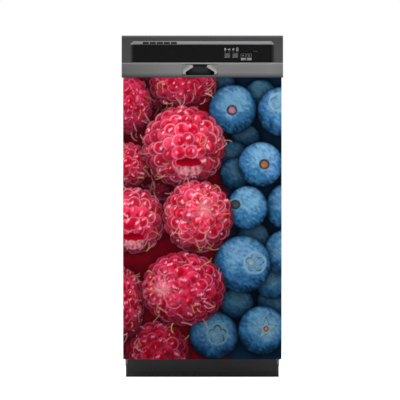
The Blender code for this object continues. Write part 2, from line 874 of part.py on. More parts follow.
def hinge_arm(side):
    """A lever on the door's side: it turns on the pin, and its short end pulls the spring."""
    outline = [
        (-0.262, 0.320),
        (-0.262, 0.125),
        (HINGE_Y - 0.010, HINGE_Z - 0.004),
        (HINGE_Y, HINGE_Z - 0.010),
        (HINGE_Y + 0.040, 0.1085),
        (HINGE_Y + 0.042, 0.1190),
        (HINGE_Y + 0.008, HINGE_Z + 0.0110),
        (-0.2300, 0.1200),
        (-0.2300, 0.320),
    ]
    low, high = span(side, 0.2107, 0.2120)
    arm = plate(f"hinge_arm_{side}", outline, low, high, "X", "zinc_steel")
    sign = mirror_names(side)
    hole = cylinder(f"arm_hole_{side}", (sign * 0.2113, HINGE_Y, HINGE_Z), 0.0034, 0.01, "X", segments=12)
    cut(arm, hole)
    set_pivot(arm, (sign * 0.2113, HINGE_Y, HINGE_Z))


def door():
    door_outer_panel()
    print_cover()
    door_inner_liner()
    control_fascia()
    display_window()
    for number, name in enumerate(("start_key", "programme_key")):
        panel_key(name, number)
    control_board()
    pocket_cup()
    latch_lever()
    latch_catch()
    dispenser()
    sound_pad()
    hinge_arm("left")
    hinge_arm("right")


# Racks, spray arms and filters


def rack_cage(low, high, columns, rows, levels):
    """An open-topped cage of sheet cells that the wire lattice follows."""
    form = bmesh.new()
    bmesh.ops.create_cube(form, size=1.0)
    form.normal_update()
    top = [face for face in form.faces if face.normal.z > 0.9]
    bmesh.ops.delete(form, geom=top, context="FACES_ONLY")
    for axis, count in enumerate((columns, rows, levels)):
        normal = [0, 0, 0]
        normal[axis] = 1
        for step in range(1, count):
            spot = [0, 0, 0]
            spot[axis] = step / count - 0.5
            everything = form.verts[:] + form.edges[:] + form.faces[:]
            bmesh.ops.bisect_plane(form, geom=everything, plane_co=spot, plane_no=normal)
    size = [high[i] - low[i] for i in range(3)]
    centre = [(high[i] + low[i]) / 2 for i in range(3)]
    form.transform(Matrix.Translation(centre) @ Matrix.Diagonal((*size, 1.0)))
    return form


def wire_rack(name, low, high, cells):
    rack = add_mesh(name, rack_cage(low, high, *cells), "rack_vinyl")
    wires = rack.modifiers.new("wires", "WIREFRAME")
    wires.thickness = WIRE
    wires.use_boundary = True
    wires.use_replace = True
    wires.use_even_offset = False
    return rack


def comb(name, start, end, foot, height, count, width, y, thick):
    """A row of upright tines on a bar along X."""
    pitch = (end - start - width) / (count - 1)
    outline = [(start, foot), (end, foot)]
    for number in reversed(range(count)):
        x = start + number * pitch
        outline += [(x + width, foot + height), (x, foot + height)]
        if number:
            outline += [(x, foot + width), (x - pitch + width, foot + width)]
    return plate(name, outline, y - thick / 2, y + thick / 2, "Y", "rack_vinyl")


def lower_rack():
    low = (-RACK_HALF + 0.002, RACK_FRONT + 0.002, LOWER_RACK[0] + 0.002)
    high = (RACK_HALF - 0.002, RACK_REAR - 0.002, LOWER_RACK[1])
    wire_rack("lower_rack", low, high, (5, 6, 2))
    tines = comb("tine_row", -0.155, 0.060, TINE_AXIS[1], 0.095, 8, 0.003, TINE_AXIS[0], 0.003)
    set_pivot(tines, (0.0, TINE_AXIS[0], TINE_AXIS[1] + 0.0015))
    basket = box("cutlery_basket", (0.085, -0.185, 0.2225), (0.165, 0.120, 0.335), "grey_plastic")
    wells = []
    for number in range(3):
        y = -0.183 + number * 0.101
        wells.append(((0.087, y, 0.2245), (0.163, y + 0.099, 0.36)))
    cut(basket, boxes("cutlery_wells", wells))


def rack_roller(place_name, side):
    """A wheel with its stub axle, turned about X."""
    sign = mirror_names(side)
    y = ROLLER_SPOTS[place_name]
    z = TUB_FLOOR + ROLLER_RADIUS + GAP
    name = f"roller_{place_name}_{side}"
    wheel = cylinder(name, (sign * 0.187, y, z), ROLLER_RADIUS, 0.009, "X", "rack_vinyl", 24)
    fuse(wheel, cylinder(f"axle_{name}", (sign * 0.180, y, z), 0.004, 0.014, "X", segments=12))
    set_pivot(wheel, (sign * 0.187, y, z))


def upper_rack():
    low = (-RACK_HALF + 0.002, RACK_FRONT + 0.002, UPPER_RACK[0] + 0.002)
    high = (RACK_HALF - 0.002, RACK_REAR - 0.010, UPPER_RACK[1])
    wire_rack("upper_rack", low, high, (5, 6, 2))
    form = bmesh.new()
    bmesh.ops.create_grid(form, x_segments=2, y_segments=5, size=0.5)
    size = Matrix.Diagonal((0.085, 0.340, 1.0, 1.0))
    form.transform(Matrix.Translation((-0.1215, 0.010, 0.655)) @ size)
    shelf = add_mesh("cup_shelf", form, "rack_vinyl")
    wires = shelf.modifiers.new("wires", "WIREFRAME")
    wires.thickness = 0.003
    wires.use_boundary = True
    wires.use_even_offset = False
    set_pivot(shelf, (-0.164, 0.010, 0.655))


def upper_rail(side):
    """The sliding member that carries the upper rack out of the tub."""
    low, high = span(side, 0.1810, 0.1860)
    rail = box(f"upper_rail_{side}", (low, RACK_FRONT, RAIL_Z[0]), (high, 0.220, RAIL_Z[1]), "stainless")
    round_edges(rail, 0.0008, 1)


def arm_outline(reach, wide, narrow):
    """A long blade, wide at its middle with round ends, about (SUMP_X, SUMP_Y)."""
    spots = []
    for sign in (1, -1):
        for step in range(7):
            angle = math.radians(-90 + 30 * step)
            x = reach - narrow + narrow * math.cos(angle)
            y = narrow * math.sin(angle)
            spots.append((SUMP_X + sign * x, SUMP_Y + sign * y))
        spots.append((SUMP_X, SUMP_Y + sign * wide))
    return spots


def spray_arm(name, levels, hub_low, hub_high):
    arm = plate(name, arm_outline(ARM_REACH, 0.024, 0.012), levels[0], levels[1], "Z", "grey_plastic")
    middle = (hub_low + hub_high) / 2
    hub = cylinder(f"hub_{name}", (SUMP_X, SUMP_Y, middle), 0.018, hub_high - hub_low, "Z")
    fuse(arm, hub)
    set_pivot(arm, (SUMP_X, SUMP_Y, levels[0]))


def feed_tube():
    """The flat duct under the upper rack that feeds its spray arm from the riser."""
    z = UPPER_ARM[1] + 0.006
    low = (-0.014, SUMP_Y - 0.020, z - 0.0035)
    high = (0.014, RISER_Y - 0.0125 - GAP, z + 0.0045)
    duct = box("upper_feed_tube", low, high, "grey_plastic")
    round_edges(duct, 0.0015, 1)


def cup_filter():
    """A round fine filter with a grip bar on top, which turns a quarter to unlock."""
    x, y = FILTER_SPOT
    low = 0.105
    high = TUB_FLOOR + 0.004
    body = cylinder("cup_filter", (x, y, (low + high) / 2), FILTER_RADIUS, high - low, "Z", "stainless")
    cut(body, cylinder("filter_bore", (x, y, low + 0.03), FILTER_RADIUS - 0.003, high - low - 0.002))
    grip_low = (x - 0.027, y - 0.003, high - 0.004)
    grip_high = (x + 0.027, y + 0.003, high + 0.015)
    fuse(body, box("filter_grip", grip_low, grip_high))
    set_pivot(body, (x, y, high))


def float_cup():
    """The overfill float: a dome on a stem that passes the tub's floor."""
    base = TUB_FLOOR + GAP
    profile = [
        (0.0, base + 0.026),
        (0.010, base + 0.025),
        (0.016, base + 0.019),
        (0.0165, base),
        (0.004, base),
        (0.004, 0.125),
        (0.0, 0.125),
    ]
    turned("float_cup", profile, (*FLOAT_SPOT, 0.0), "black_plastic", 20)


def inside():
    lower_rack()
    upper_rack()
    for side in ("left", "right"):
        upper_rail(side)
        rack_roller("front", side)
        rack_roller("rear", side)
    spray_arm("lower_spray_arm", LOWER_ARM, LOWER_ARM[0] - 0.0005, LOWER_ARM[1] + 0.005)
    spray_arm("upper_spray_arm", UPPER_ARM, UPPER_ARM[0] - 0.003, UPPER_ARM[1] + 0.002)
    feed_tube()
    cup_filter()
    float_cup()


cabinet()
door()
inside()
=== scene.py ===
import fnmatch
import json
import math

import bmesh
import bpy
import numpy as np
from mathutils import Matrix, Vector

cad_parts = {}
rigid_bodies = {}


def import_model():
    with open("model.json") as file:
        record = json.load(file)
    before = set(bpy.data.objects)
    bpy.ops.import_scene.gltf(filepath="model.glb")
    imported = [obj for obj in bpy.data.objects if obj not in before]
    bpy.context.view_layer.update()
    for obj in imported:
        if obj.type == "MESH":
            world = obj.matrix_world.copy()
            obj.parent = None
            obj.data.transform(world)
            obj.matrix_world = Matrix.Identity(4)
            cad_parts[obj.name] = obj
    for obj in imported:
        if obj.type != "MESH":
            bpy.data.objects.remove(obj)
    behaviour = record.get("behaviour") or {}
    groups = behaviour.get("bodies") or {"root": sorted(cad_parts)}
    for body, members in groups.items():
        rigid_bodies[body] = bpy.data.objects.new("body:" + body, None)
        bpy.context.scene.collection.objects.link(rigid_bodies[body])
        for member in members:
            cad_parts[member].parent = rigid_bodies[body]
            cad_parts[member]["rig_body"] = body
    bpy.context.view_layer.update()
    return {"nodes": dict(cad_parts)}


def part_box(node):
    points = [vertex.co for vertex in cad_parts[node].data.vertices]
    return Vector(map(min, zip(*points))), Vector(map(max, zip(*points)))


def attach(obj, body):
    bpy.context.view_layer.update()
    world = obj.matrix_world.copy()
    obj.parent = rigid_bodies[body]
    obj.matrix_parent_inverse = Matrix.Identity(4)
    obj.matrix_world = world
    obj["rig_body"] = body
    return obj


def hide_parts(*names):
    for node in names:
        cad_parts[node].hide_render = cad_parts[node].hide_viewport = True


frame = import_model()
nodes = frame["nodes"]
mm = 0.001
print("frame loaded:", len(nodes), "nodes")


def hexColour(code):  # an sRGB hex value turned to linear light
    channels = np.array([int(code[i : i + 2], 16) / 255 for i in (0, 2, 4)])
    return np.where(channels <= 0.04045, channels / 12.92, ((channels + 0.055) / 1.055) ** 2.4)


def rgba(code):
    return (*hexColour(code), 1.0)


def rise(low, high, value):  # 0 below low, 1 above high, an S curve between
    share = np.clip((value - low) / (high - low), 0.0, 1.0)
    return share * share * (3.0 - 2.0 * share)


def edges(node):  # a node's box as x0, x1, y0, y1, z0, z1
    low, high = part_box(node)
    return low.x, high.x, low.y, high.y, low.z, high.z


# Camera, floor and light

stageLook = {
    "distance": 30.0,  # long and level, so the front shows with almost no perspective
    "aim": (-0.0065, 0.4926),  # x and z
    "lens": 973.0,
    "sensor": 36.0,
    "clipEnd": 200.0,
    "floorHalf": 40.0,
    "paper": ("f4f4f4", 0.9),  # the floor's colour and roughness
    "paperGlow": (0.12, 0.66),  # what the floor adds to the light, and what the camera sees of it
    "ambient": 0.20,  # the grey studio that the gloss and the shadows see
    "backdrop": 1.0,
    "skylight": (1.15, 30, (14, -6, 0)),  # strength, then width and tilt in degrees
    # place, what it points at, size and watts, with y measured from the fascia's front
    "softboxes": {
        "frontSoftbox": ((-0.5, -4.2, 3.4), (0, 0, 0.5), (3.2, 2.4), 78),
        "rightSoftbox": ((3.6, -2.6, 1.8), (0, 0, 0.5), (2.0, 2.6), 24),
        "leftSoftbox": ((-4.2, 0.886, 2.0), (0, 0.286, 0.5), (2.0, 2.6), 90),
        "overhead": ((0.3, 0.586, 4.2), (0, 0.286, 0.9), (2.6, 2.6), 110),
        "backSoftbox": ((2.4, 3.886, 2.2), (0, 0.286, 0.5), (2.6, 2.4), 48),
    },
}


def addNode(tree, kind, inputs=None, **settings):
    # one shader node: its settings, then a value or a link for each input
    node = tree.nodes.new("ShaderNode" + kind)
    for name, value in settings.items():
        setattr(node, name, value)
    for socket, value in (inputs or {}).items():
        if isinstance(value, bpy.types.NodeSocket):
            tree.links.new(value, node.inputs[socket])
        else:
            node.inputs[socket].default_value = value
    return node


def addToScene(name, data):
    made = bpy.data.objects.new(name, data)
    bpy.context.scene.collection.objects.link(made)
    return made


def setCamera(front):
    look = stageLook
    data = bpy.data.cameras.new("studioCamera")
    data.lens = look["lens"]
    data.sensor_width = look["sensor"]
    data.clip_end = look["clipEnd"]
    camera = addToScene("studioCamera", data)
    camera.location = (look["aim"][0], front - look["distance"], look["aim"][1])
    camera.rotation_euler = (math.pi / 2, 0, 0)
    bpy.context.scene.camera = camera


def setAir():  # white to the camera, grey to everything else
    world = bpy.data.worlds.new("studioAir")
    bpy.context.scene.world = world
    world.use_nodes = True
    tree = world.node_tree
    tree.nodes.clear()
    path = addNode(tree, "LightPath")
    seen = addNode(tree, "Background", {"Color": rgba("ffffff"), "Strength": stageLook["backdrop"]})
    felt = addNode(tree, "Background", {"Color": rgba("ffffff"), "Strength": stageLook["ambient"]})
    ways = {0: path.outputs["Is Camera Ray"], 1: felt.outputs[0], 2: seen.outputs[0]}
    addNode(tree, "OutputWorld", {"Surface": addNode(tree, "MixShader", ways).outputs[0]})


def setFloor():
    half = stageLook["floorHalf"]
    mesh = bpy.data.meshes.new("floor")
    corners = [(-half, -half, 0), (half, -half, 0), (half, half, 0), (-half, half, 0)]
    mesh.from_pydata(corners, [], [(0, 1, 2, 3)])
    paper = bpy.data.materials.new("whiteStudioPaper")
    paper.use_nodes = True
    tree = paper.node_tree
    shader = tree.nodes["Principled BSDF"]
    tint, rough = stageLook["paper"]
    shader.inputs["Base Color"].default_value = rgba(tint)
    shader.inputs["Roughness"].default_value = rough
    shader.inputs["Emission Color"].default_value = rgba("ffffff")
    low, high = stageLook["paperGlow"]
    path = addNode(tree, "LightPath")
    glow = addNode(tree, "MapRange", {"Value": path.outputs["Is Camera Ray"], "To Min": low, "To Max": high})
    tree.links.new(glow.outputs["Result"], shader.inputs["Emission Strength"])
    mesh.materials.append(paper)
    addToScene("floor", mesh)


def setLights(front):
    strength, width, tilt = stageLook["skylight"]
    sun = bpy.data.lights.new("skylight", "SUN")
    sun.energy = strength
    sun.angle = math.radians(width)
    addToScene("skylight", sun).rotation_euler = [math.radians(angle) for angle in tilt]
    for name, (place, target, size, watts) in stageLook["softboxes"].items():
        data = bpy.data.lights.new(name, "AREA")
        data.shape = "RECTANGLE"
        data.size, data.size_y = size
        data.energy = watts
        light = addToScene(name, data)
        light.location = Vector(place) + Vector((0, front, 0))
        light.rotation_euler = (Vector(target) - Vector(place)).to_track_quat("-Z", "Y").to_euler()


bpy.context.scene.view_settings.view_transform = "Standard"
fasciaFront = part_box("control_fascia")[0].y
setCamera(fasciaFront)
setAir()
setFloor()
setLights(fasciaFront)
print("stage set")


# Materials

finishes = {
    # smoked acrylic, cast and polished: nearly black, with one clear reflection
    "smokedAcrylic": dict(tones=("050505", "080808"), rough=(0.07, 0.10), grain=30.0, relief=0.0, ior=1.49),
    # polypropylene moulding, black: dull, faintly streaked where it flowed
    "blackPolypropylene": dict(
        tones=("151516", "1f1f21"), rough=(0.40, 0.55), grain=1.6, relief=0.08, ior=1.49
    ),
    # steel sheet with a black powder coat: an orange-peel skin
    "powderCoatedSteel": dict(
        tones=("171718", "1c1c1e"), rough=(0.42, 0.52), grain=2.2, relief=0.12, ior=1.50
    ),
    # the same coat painted lighter where a folded edge would catch the light, a painted highlight
    "coatHighlightEdge": dict(tones=("3a3a3c", "434345"), rough=(0.40, 0.50), grain=2.2, relief=0.10, ior=1.50),
    # steel sheet, pre-painted silver grey: smooth with a slow ripple
    "coilPaintedSteel": dict(
        tones=("85878a", "8d8f92"), rough=(0.30, 0.38), grain=4.0, relief=0.05, ior=1.50, metal=0.25
    ),
    # stainless steel with a brushed finish: bright, with fine streaks along the grain
    "brushedStainless": dict(
        tones=("b2b4b6", "c3c5c6"), rough=(0.40, 0.54), grain=1.2, relief=0.05, metal=1.0,
        stretch=(0.03, 0.03, 1.0)
    ),
    # zinc-plated steel, passivated: cool grey with cloudy spangle
    "zincPlatedSteel": dict(
        tones=("a2a7ac", "bec3c8"), rough=(0.38, 0.52), grain=7.0, relief=0.04, metal=1.0
    ),
    # stainless mesh, woven: a fine grid that reads as a grey sheen
    "wovenStainlessMesh": dict(
        tones=("6e7174", "b4b7ba"), rough=(0.34, 0.60), grain=0.8, relief=0.60, metal=1.0,
        stretch=(1.0, 1.0, 0.25)
    ),
    # polypropylene moulding, light grey
    "greyPolypropylene": dict(
        tones=("8b8f94", "969a9e"), rough=(0.42, 0.52), grain=1.8, relief=0.07, ior=1.49
    ),
    # wire dipped in nylon powder: thick, smooth, slightly waxy
    "nylonDippedWire": dict(
        tones=("aeb3b8", "bcc1c5"), rough=(0.30, 0.42), grain=3.0, relief=0.06, ior=1.53
    ),
    # EPDM rubber, extruded: deep matt grey with a bloom
    "extrudedEpdm": dict(tones=("26272a", "34363a"), rough=(0.62, 0.78), grain=5.0, relief=0.06, ior=1.50),
    # bitumen felt, pressed: black and fibrous
    "bitumenFelt": dict(tones=("1b1a19", "302e2b"), rough=(0.80, 0.95), grain=2.4, relief=0.40, ior=1.50),
    # glass-fibre circuit board with a green solder mask
    "solderMaskedBoard": dict(
        tones=("0f4a2e", "17613c"), rough=(0.28, 0.40), grain=6.0, relief=0.03, ior=1.53
    ),
    # satin lacquer over ABS, as on the strip: mid grey with a soft gloss
    "satinLacquer": dict(tones=("6b6b6c", "747475"), rough=(0.36, 0.44), grain=1.4, relief=0.04, ior=1.50),
    # the same lacquer painted lighter on the pocket's facets, a painted highlight where they would catch more
    # light
    "litSatinLacquer": dict(
        tones=("858381", "8d8b89"), rough=(0.36, 0.44), grain=1.4, relief=0.04, ior=1.50
    ),
    # and painted palest on the facets' edges, a painted highlight
    "glintSatinLacquer": dict(
        tones=("a09d99", "aaa7a3"), rough=(0.34, 0.42), grain=2.0, relief=0.03, ior=1.50
    ),
    # screen-printed ink for the window's marks: flat grey
    "screenPrintedInk": dict(
        tones=("b6b8ba", "c4c6c8"), rough=(0.45, 0.55), grain=1.2, relief=0.02, ior=1.50
    ),
    # the same ink printed thinner on the blocks and labels
    "thinPrintedInk": dict(
        tones=("5e6062", "6a6c6e"), rough=(0.45, 0.55), grain=1.2, relief=0.02, ior=1.50
    ),
}


def makeFinish(name, tones, rough, grain, relief, ior=1.45, metal=0.0, stretch=(1.0, 1.0, 1.0)):
    # colour and roughness drift between two values with noise as coarse as the grain, which lifts the skin too
    made = bpy.data.materials.new(name)
    made.use_nodes = True
    tree = made.node_tree
    shader = tree.nodes["Principled BSDF"]
    shader.inputs["Metallic"].default_value = metal
    if metal < 1:
        shader.inputs["IOR"].default_value = ior
    own = addNode(tree, "TexCoord").outputs["Object"]
    place = addNode(tree, "Mapping", {"Vector": own, "Scale": stretch}).outputs["Vector"]
    perMetre = 1 / (grain * mm)
    fine = addNode(tree, "TexNoise", {"Vector": place, "Scale": perMetre, "Detail": 3.0, "Roughness": 0.6})
    broad = addNode(tree, "TexNoise", {"Vector": place, "Scale": perMetre / 30, "Detail": 2.0})
    both = {"Factor": 0.5, "A": fine.outputs["Fac"], "B": broad.outputs["Fac"]}
    share = addNode(tree, "Mix", both).outputs["Result"]
    ramp = addNode(tree, "ValToRGB", {"Fac": share})
    for stop, tone, at in zip(ramp.color_ramp.elements, tones, (0.35, 0.65)):
        stop.color = rgba(tone)
        stop.position = at
    tree.links.new(ramp.outputs["Color"], shader.inputs["Base Color"])
    spread = {"Value": share, "From Min": 0.3, "From Max": 0.7, "To Min": rough[0], "To Max": rough[1]}
    tree.links.new(addNode(tree, "MapRange", spread).outputs["Result"], shader.inputs["Roughness"])
    if relief:
        bump = addNode(tree, "Bump", {"Strength": relief, "Distance": 0.2 * mm, "Height": fine.outputs["Fac"]})
        tree.links.new(bump.outputs["Normal"], shader.inputs["Normal"])
    return made


materials = {name: makeFinish(name, **look) for name, look in finishes.items()}


fasciaLook = {
    "grain": (("2f3032", "373839"), (0.40, 0.50), 0.9, 0.10, 1.52),  # tones, roughness, size, relief and IOR
    "face": ("333435", "272728"),  # from its foot to its top, darker at the top as painted shade
    "grainShare": 0.25,
    # painted shade: the recess's side walls darker than the face
    "cheek": "202021",
    # painted highlight: the recess's sloping top paler than the face
    "bevel": "858587",
    "lacquer": ("363637", "6c6c6d"),  # the strip, from its foot, darkened as painted shade where it turns under, to its face
    "wear": 9.0,  # how many lighter and darker clouds to the metre
    # heights and half width in mm
    "ledge": 873.6,  # the strip stands below this
    "recess": (925.0, 934.5),  # the recess's sloping top
    "recessFloor": (-282.4, -282.0),
    "recessSide": 192.2,
    "faceShadeSpan": (900, 947),
    "foot": (833, 847),
    # painted shade, where a tone fades: from, to, and its strength at each
    "faceEndShade": (-224, -40, 0.80, 1.0),
    "faceTopShade": (938, 948, 1.0, 0.40),
    "stripEndShade": ((-224, -60, 0.56, 1.0), (180, 222, 1.0, 0.84)),
    "stripTopShade": (871.1, 873.6, 1.0, 0.70),
}


def paintedShadeAndWear(tree, tint, fades):
    # a colour times a strength that goes smoothly from low to high as a coordinate goes from start to end: painted
    # shade along the fascia, and random wear where the coordinate is noise
    for value, (start, end, low, high) in fades:
        span = {"Value": value, "From Min": start, "From Max": end, "To Min": low, "To Max": high}
        strength = addNode(tree, "MapRange", span, interpolation_type="SMOOTHSTEP").outputs["Result"]
        tint = addNode(tree, "VectorMath", {0: tint, "Scale": strength}, operation="SCALE").outputs["Vector"]
    return tint


def laid(tree, under, over, share, bounds):
    # one colour over another: the share times, for each bound, a smooth step from 0 to 1
    for value, start, end in bounds:
        span = {"Value": value, "From Min": start, "From Max": end}
        step = addNode(tree, "MapRange", span, interpolation_type="SMOOTHSTEP").outputs["Result"]
        share = addNode(tree, "Math", {0: share, 1: step}, operation="MULTIPLY").outputs[0]
    return addNode(tree, "Mix", {"Factor": share, "A": under, "B": over}, data_type="RGBA").outputs["Result"]


def twoToneFasciaPaintedLight():
    # moulded ABS: a dark face and a lacquered strip with its foot turned under, with painted shade on the face's
    # top and left end, the recess's side walls, the strip's ends, its top under the ledge and its turned-under
    # foot, and a painted highlight on the pale bevel above the window
    look = fasciaLook
    made = makeFinish("twoToneAbsPaintedLight", *look["grain"])
    tree = made.node_tree
    tint = tree.nodes["Principled BSDF"].inputs["Base Color"]
    grain = tint.links[0].from_socket
    own = addNode(tree, "TexCoord").outputs["Object"]
    inMm = addNode(tree, "VectorMath", {0: own, "Scale": 1 / mm}, operation="SCALE").outputs["Vector"]
    place = addNode(tree, "SeparateXYZ", {0: inMm})
    x, y, z = (place.outputs[axis] for axis in "XYZ")
    across = addNode(tree, "Math", {0: x}, operation="ABSOLUTE").outputs[0]
    foot, top = (rgba(tone) for tone in look["face"])
    low, high = look["recess"]
    side, ledge = look["recessSide"], look["ledge"]
    inside = (y, *look["recessFloor"])
    # painted shade: the face darker towards its top
    face = laid(tree, foot, top, 1.0, [(z, *look["faceShadeSpan"])])
    face = laid(tree, face, grain, look["grainShare"], [])
    # painted shade on the recess's side walls
    face = laid(tree, face, rgba(look["cheek"]), 1.0, [inside, (across, side - 0.5, side)])
    # painted highlight on the recess's sloping top
    face = laid(tree, face, rgba(look["bevel"]), 1.0, [inside, (z, low - 2, low), (z, high + 0.5, high)])
    # painted shade towards the face's left end and its top
    face = paintedShadeAndWear(tree, face, [(x, look["faceEndShade"]), (z, look["faceTopShade"])])
    under, over = (rgba(tone) for tone in look["lacquer"])
    # painted shade on the strip's foot where it turns under
    strip = laid(tree, under, over, 1.0, [(z, *look["foot"])])
    worn = addNode(tree, "TexNoise", {"Vector": own, "Scale": look["wear"], "Detail": 1.0}).outputs["Fac"]
    # painted shade towards the strip's ends, random wear clouds, and painted shade under the ledge
    strip = paintedShadeAndWear(tree, strip, [(x, end) for end in look["stripEndShade"]])
    strip = paintedShadeAndWear(tree, strip, [(worn, (0.3, 0.7, 0.95, 1.07)), (z, look["stripTopShade"])])
    tree.links.new(laid(tree, face, strip, 1.0, [(z, ledge + 0.8, ledge)]), tint)
    return made


materials["twoToneAbsPaintedLight"] = twoToneFasciaPaintedLight()

nodeFinish = {  # a star stands for any run of letters
    "twoToneAbsPaintedLight": "control_fascia",
    "smokedAcrylic": "display_window start_key programme_key",
    "blackPolypropylene": "pocket_cup latch_lever sump *_pump terminal_box base_pan foot_* roller_*",
    "powderCoatedSteel": "toe_kick door_outer_panel",
    "coilPaintedSteel": "side_panel_* top_panel",
    "wovenStainlessMesh": "filter_plate",
    "brushedStainless": "tub door_inner_liner heating_element upper_rail_*",
    "zincPlatedSteel": "hinge_* latch_catch latch_strike rear_panel door_spring_*",
    "greyPolypropylene": "dispenser_body detergent_lid rinse_cap cup_filter float_cup *_spray_arm spray_riser "
    "upper_feed_tube air_breaker inlet_valve cutlery_basket",
    "nylonDippedWire": "lower_rack upper_rack tine_row cup_shelf",
    "extrudedEpdm": "tub_gasket",
    "bitumenFelt": "sound_pad",
    "solderMaskedBoard": "control_board",
}

for finish, patterns in nodeFinish.items():
    for name in [name for pattern in patterns.split() for name in fnmatch.filter(nodes, pattern)]:
        nodes[name].data.materials.clear()
        nodes[name].data.materials.append(materials[finish])
print("finishes:", len(materials))


# The printed picture


def mottle(x, z, grain, seed, octaves=3):
    # smooth noise, 0 to 1: random lattice values blended between, halved in size and strength, and added
    total = np.zeros_like(x)
    weight = 0.0
    for octave in range(octaves):
        table = np.random.default_rng(seed + octave * 17).random((64, 64))
        u = x / grain * 2**octave
        v = z / grain * 2**octave
        column, row = np.floor(u).astype(int), np.floor(v).astype(int)
        a, b = u - column, v - row
        a, b = a * a * (3 - 2 * a), b * b * (3 - 2 * b)
        c0, c1, r0, r1 = column % 64, (column + 1) % 64, row % 64, (row + 1) % 64
        below = table[r0, c0] * (1 - a) + table[r0, c1] * a
        above = table[r1, c0] * (1 - a) + table[r1, c1] * a
        total += (below * (1 - b) + above * b) / 2**octave
        weight += 1 / 2**octave
    return total / weight


printLayout = {  # where each berry sits on the sheet: x from the middle and z from the floor, in mm
    "ground": ("5c0310", "061c30"),  # dark gaps behind the raspberries and behind the blueberries
    "split": 62,  # the x where one fruit gives way to the other
    # x, z, half width, half height, brightness, ripeness (0 pink, 1 crimson), turn of its axis, drupelets
    "raspberries": (
        (-124, 775, 40, 38, 0.42, 1.0, 20, 90),
        (-150, 826, 40, 34, 0.38, 1.0, 10, 90),
        (-128, 505, 42, 34, 0.34, 1.0, 10, 90),
        (-205, 90, 60, 50, 0.36, 1.0, 0, 110),
        (-202, 756, 62, 80, 0.96, 0.95, 100, 125),
        (-53, 815, 92, 66, 0.98, 0.8, 80, 100),
        (-208, 589, 60, 62, 1.06, 0.6, 40, 90),
        (-52, 641, 113, 111, 1.26, 0.5, 60, 128),
        (-191, 436, 86, 90, 1.16, 0.6, 70, 105),
        (-13, 446, 96, 99, 1.24, 0.45, 20, 120),
        (-124, 66, 88, 88, 0.62, 0.95, 95, 105),
        (-216, 204, 54, 96, 0.84, 0.9, 90, 120),
        (-54, 246, 114, 101, 0.98, 0.95, 175, 130),
    ),
    "behind": 4,  # how many raspberries lie behind the blueberries
    # by the raspberry's number from 0: a mouth's x, z, half sizes and seed, a heart's x, z, radius and seed
    "mouths": {7: (-38, 597, 37, 12, 40), 8: (-192, 390, 30, 11, 41)},
    "hearts": {9: (6, 468, 34, 42), 12: (-110, 246, 34, 43)},
    # x, z, half width, half height, brightness, and a crown: kind, x, z, radius
    "blueberries": (
        (52, 815, 40, 40, 0.22, None),
        (160, 782, 46, 44, 0.34, None),
        (118, 664, 42, 40, 0.20, None),
        (84, 612, 46, 44, 0.22, None),
        (92, 566, 44, 44, 0.30, None),
        (141, 386, 46, 46, 0.24, None),
        (96, 205, 48, 44, 0.22, None),
        (200, 212, 48, 48, 0.26, None),
        (196, 266, 50, 48, 0.36, None),
        (84, 745, 66, 68, 0.82, ("button", 82, 742, 15, "a86a78")),
        (221, 738, 68, 68, 0.98, ("ring", 211, 764, 26, "6f97ad")),
        (227, 474, 50, 62, 0.72, None),
        (224, 346, 52, 62, 0.74, None),
        (162, 592, 62, 62, 1.04, ("button", 172, 592, 15, "b06a2c")),
        (125, 471, 56, 60, 0.92, ("button", 92, 480, 14, "4a4a50")),
        (111, 314, 79, 79, 0.80, ("ring", 146, 318, 31, "c0a060")),
        (32, 116, 68, 66, 0.42, ("ring", 42, 120, 30, "5f8894")),
        (166, 131, 66, 67, 0.62, ("star", 177, 135, 31, "9c4a1c")),
    ),
}


def lay(part, cover, colour):  # a colour over part of the picture, as strongly as the cover says at each point
    part[:] = part * (1 - cover[..., None]) + colour * cover[..., None]


def shadeBehind(part, distance, reach, depth):  # darkens what lies just outside an edge, as e to the -distance
    part *= (1 - depth * np.exp(-np.clip(distance, 0, None) / reach) * (distance > -3))[..., None]


def window(spotsX, spotsZ, cx, cz, half):  # index ranges of the grid within half of a centre
    columns = np.flatnonzero(np.abs(spotsX[0] - cx) < half)
    rows = np.flatnonzero(np.abs(spotsZ[:, 0] - cz) < half)
    if not len(columns) or not len(rows):
        return None
    return slice(rows[0], rows[-1] + 1), slice(columns[0], columns[-1] + 1)


def drupeletSpots(count, turn, rng):
    # an even spiral over a ball: equal steps of the cosine and golden-angle turns, then jitter and the axis's turn
    step = np.arange(count) + 0.5
    polar = np.arccos(1 - 2 * step / count)
    around = np.pi * (1 + 5**0.5) * step
    ball = np.stack([np.sin(polar) * np.cos(around), np.sin(polar) * np.sin(around), np.cos(polar)], 1)
    ball += rng.normal(0, 0.035, ball.shape)
    ball /= np.linalg.norm(ball, axis=1)[:, None]
    lean, spin = math.radians(62), math.radians(turn)
    x = ball[:, 0]
    y = ball[:, 1] * math.cos(lean) - ball[:, 2] * math.sin(lean)
    w = ball[:, 1] * math.sin(lean) + ball[:, 2] * math.cos(lean)
    return np.stack([x * math.cos(spin) - y * math.sin(spin), x * math.sin(spin) + y * math.cos(spin), w], 1)


redInk = np.array([0.69, 0.14, 0.175])  # below these the red inks fall off faster than the light does


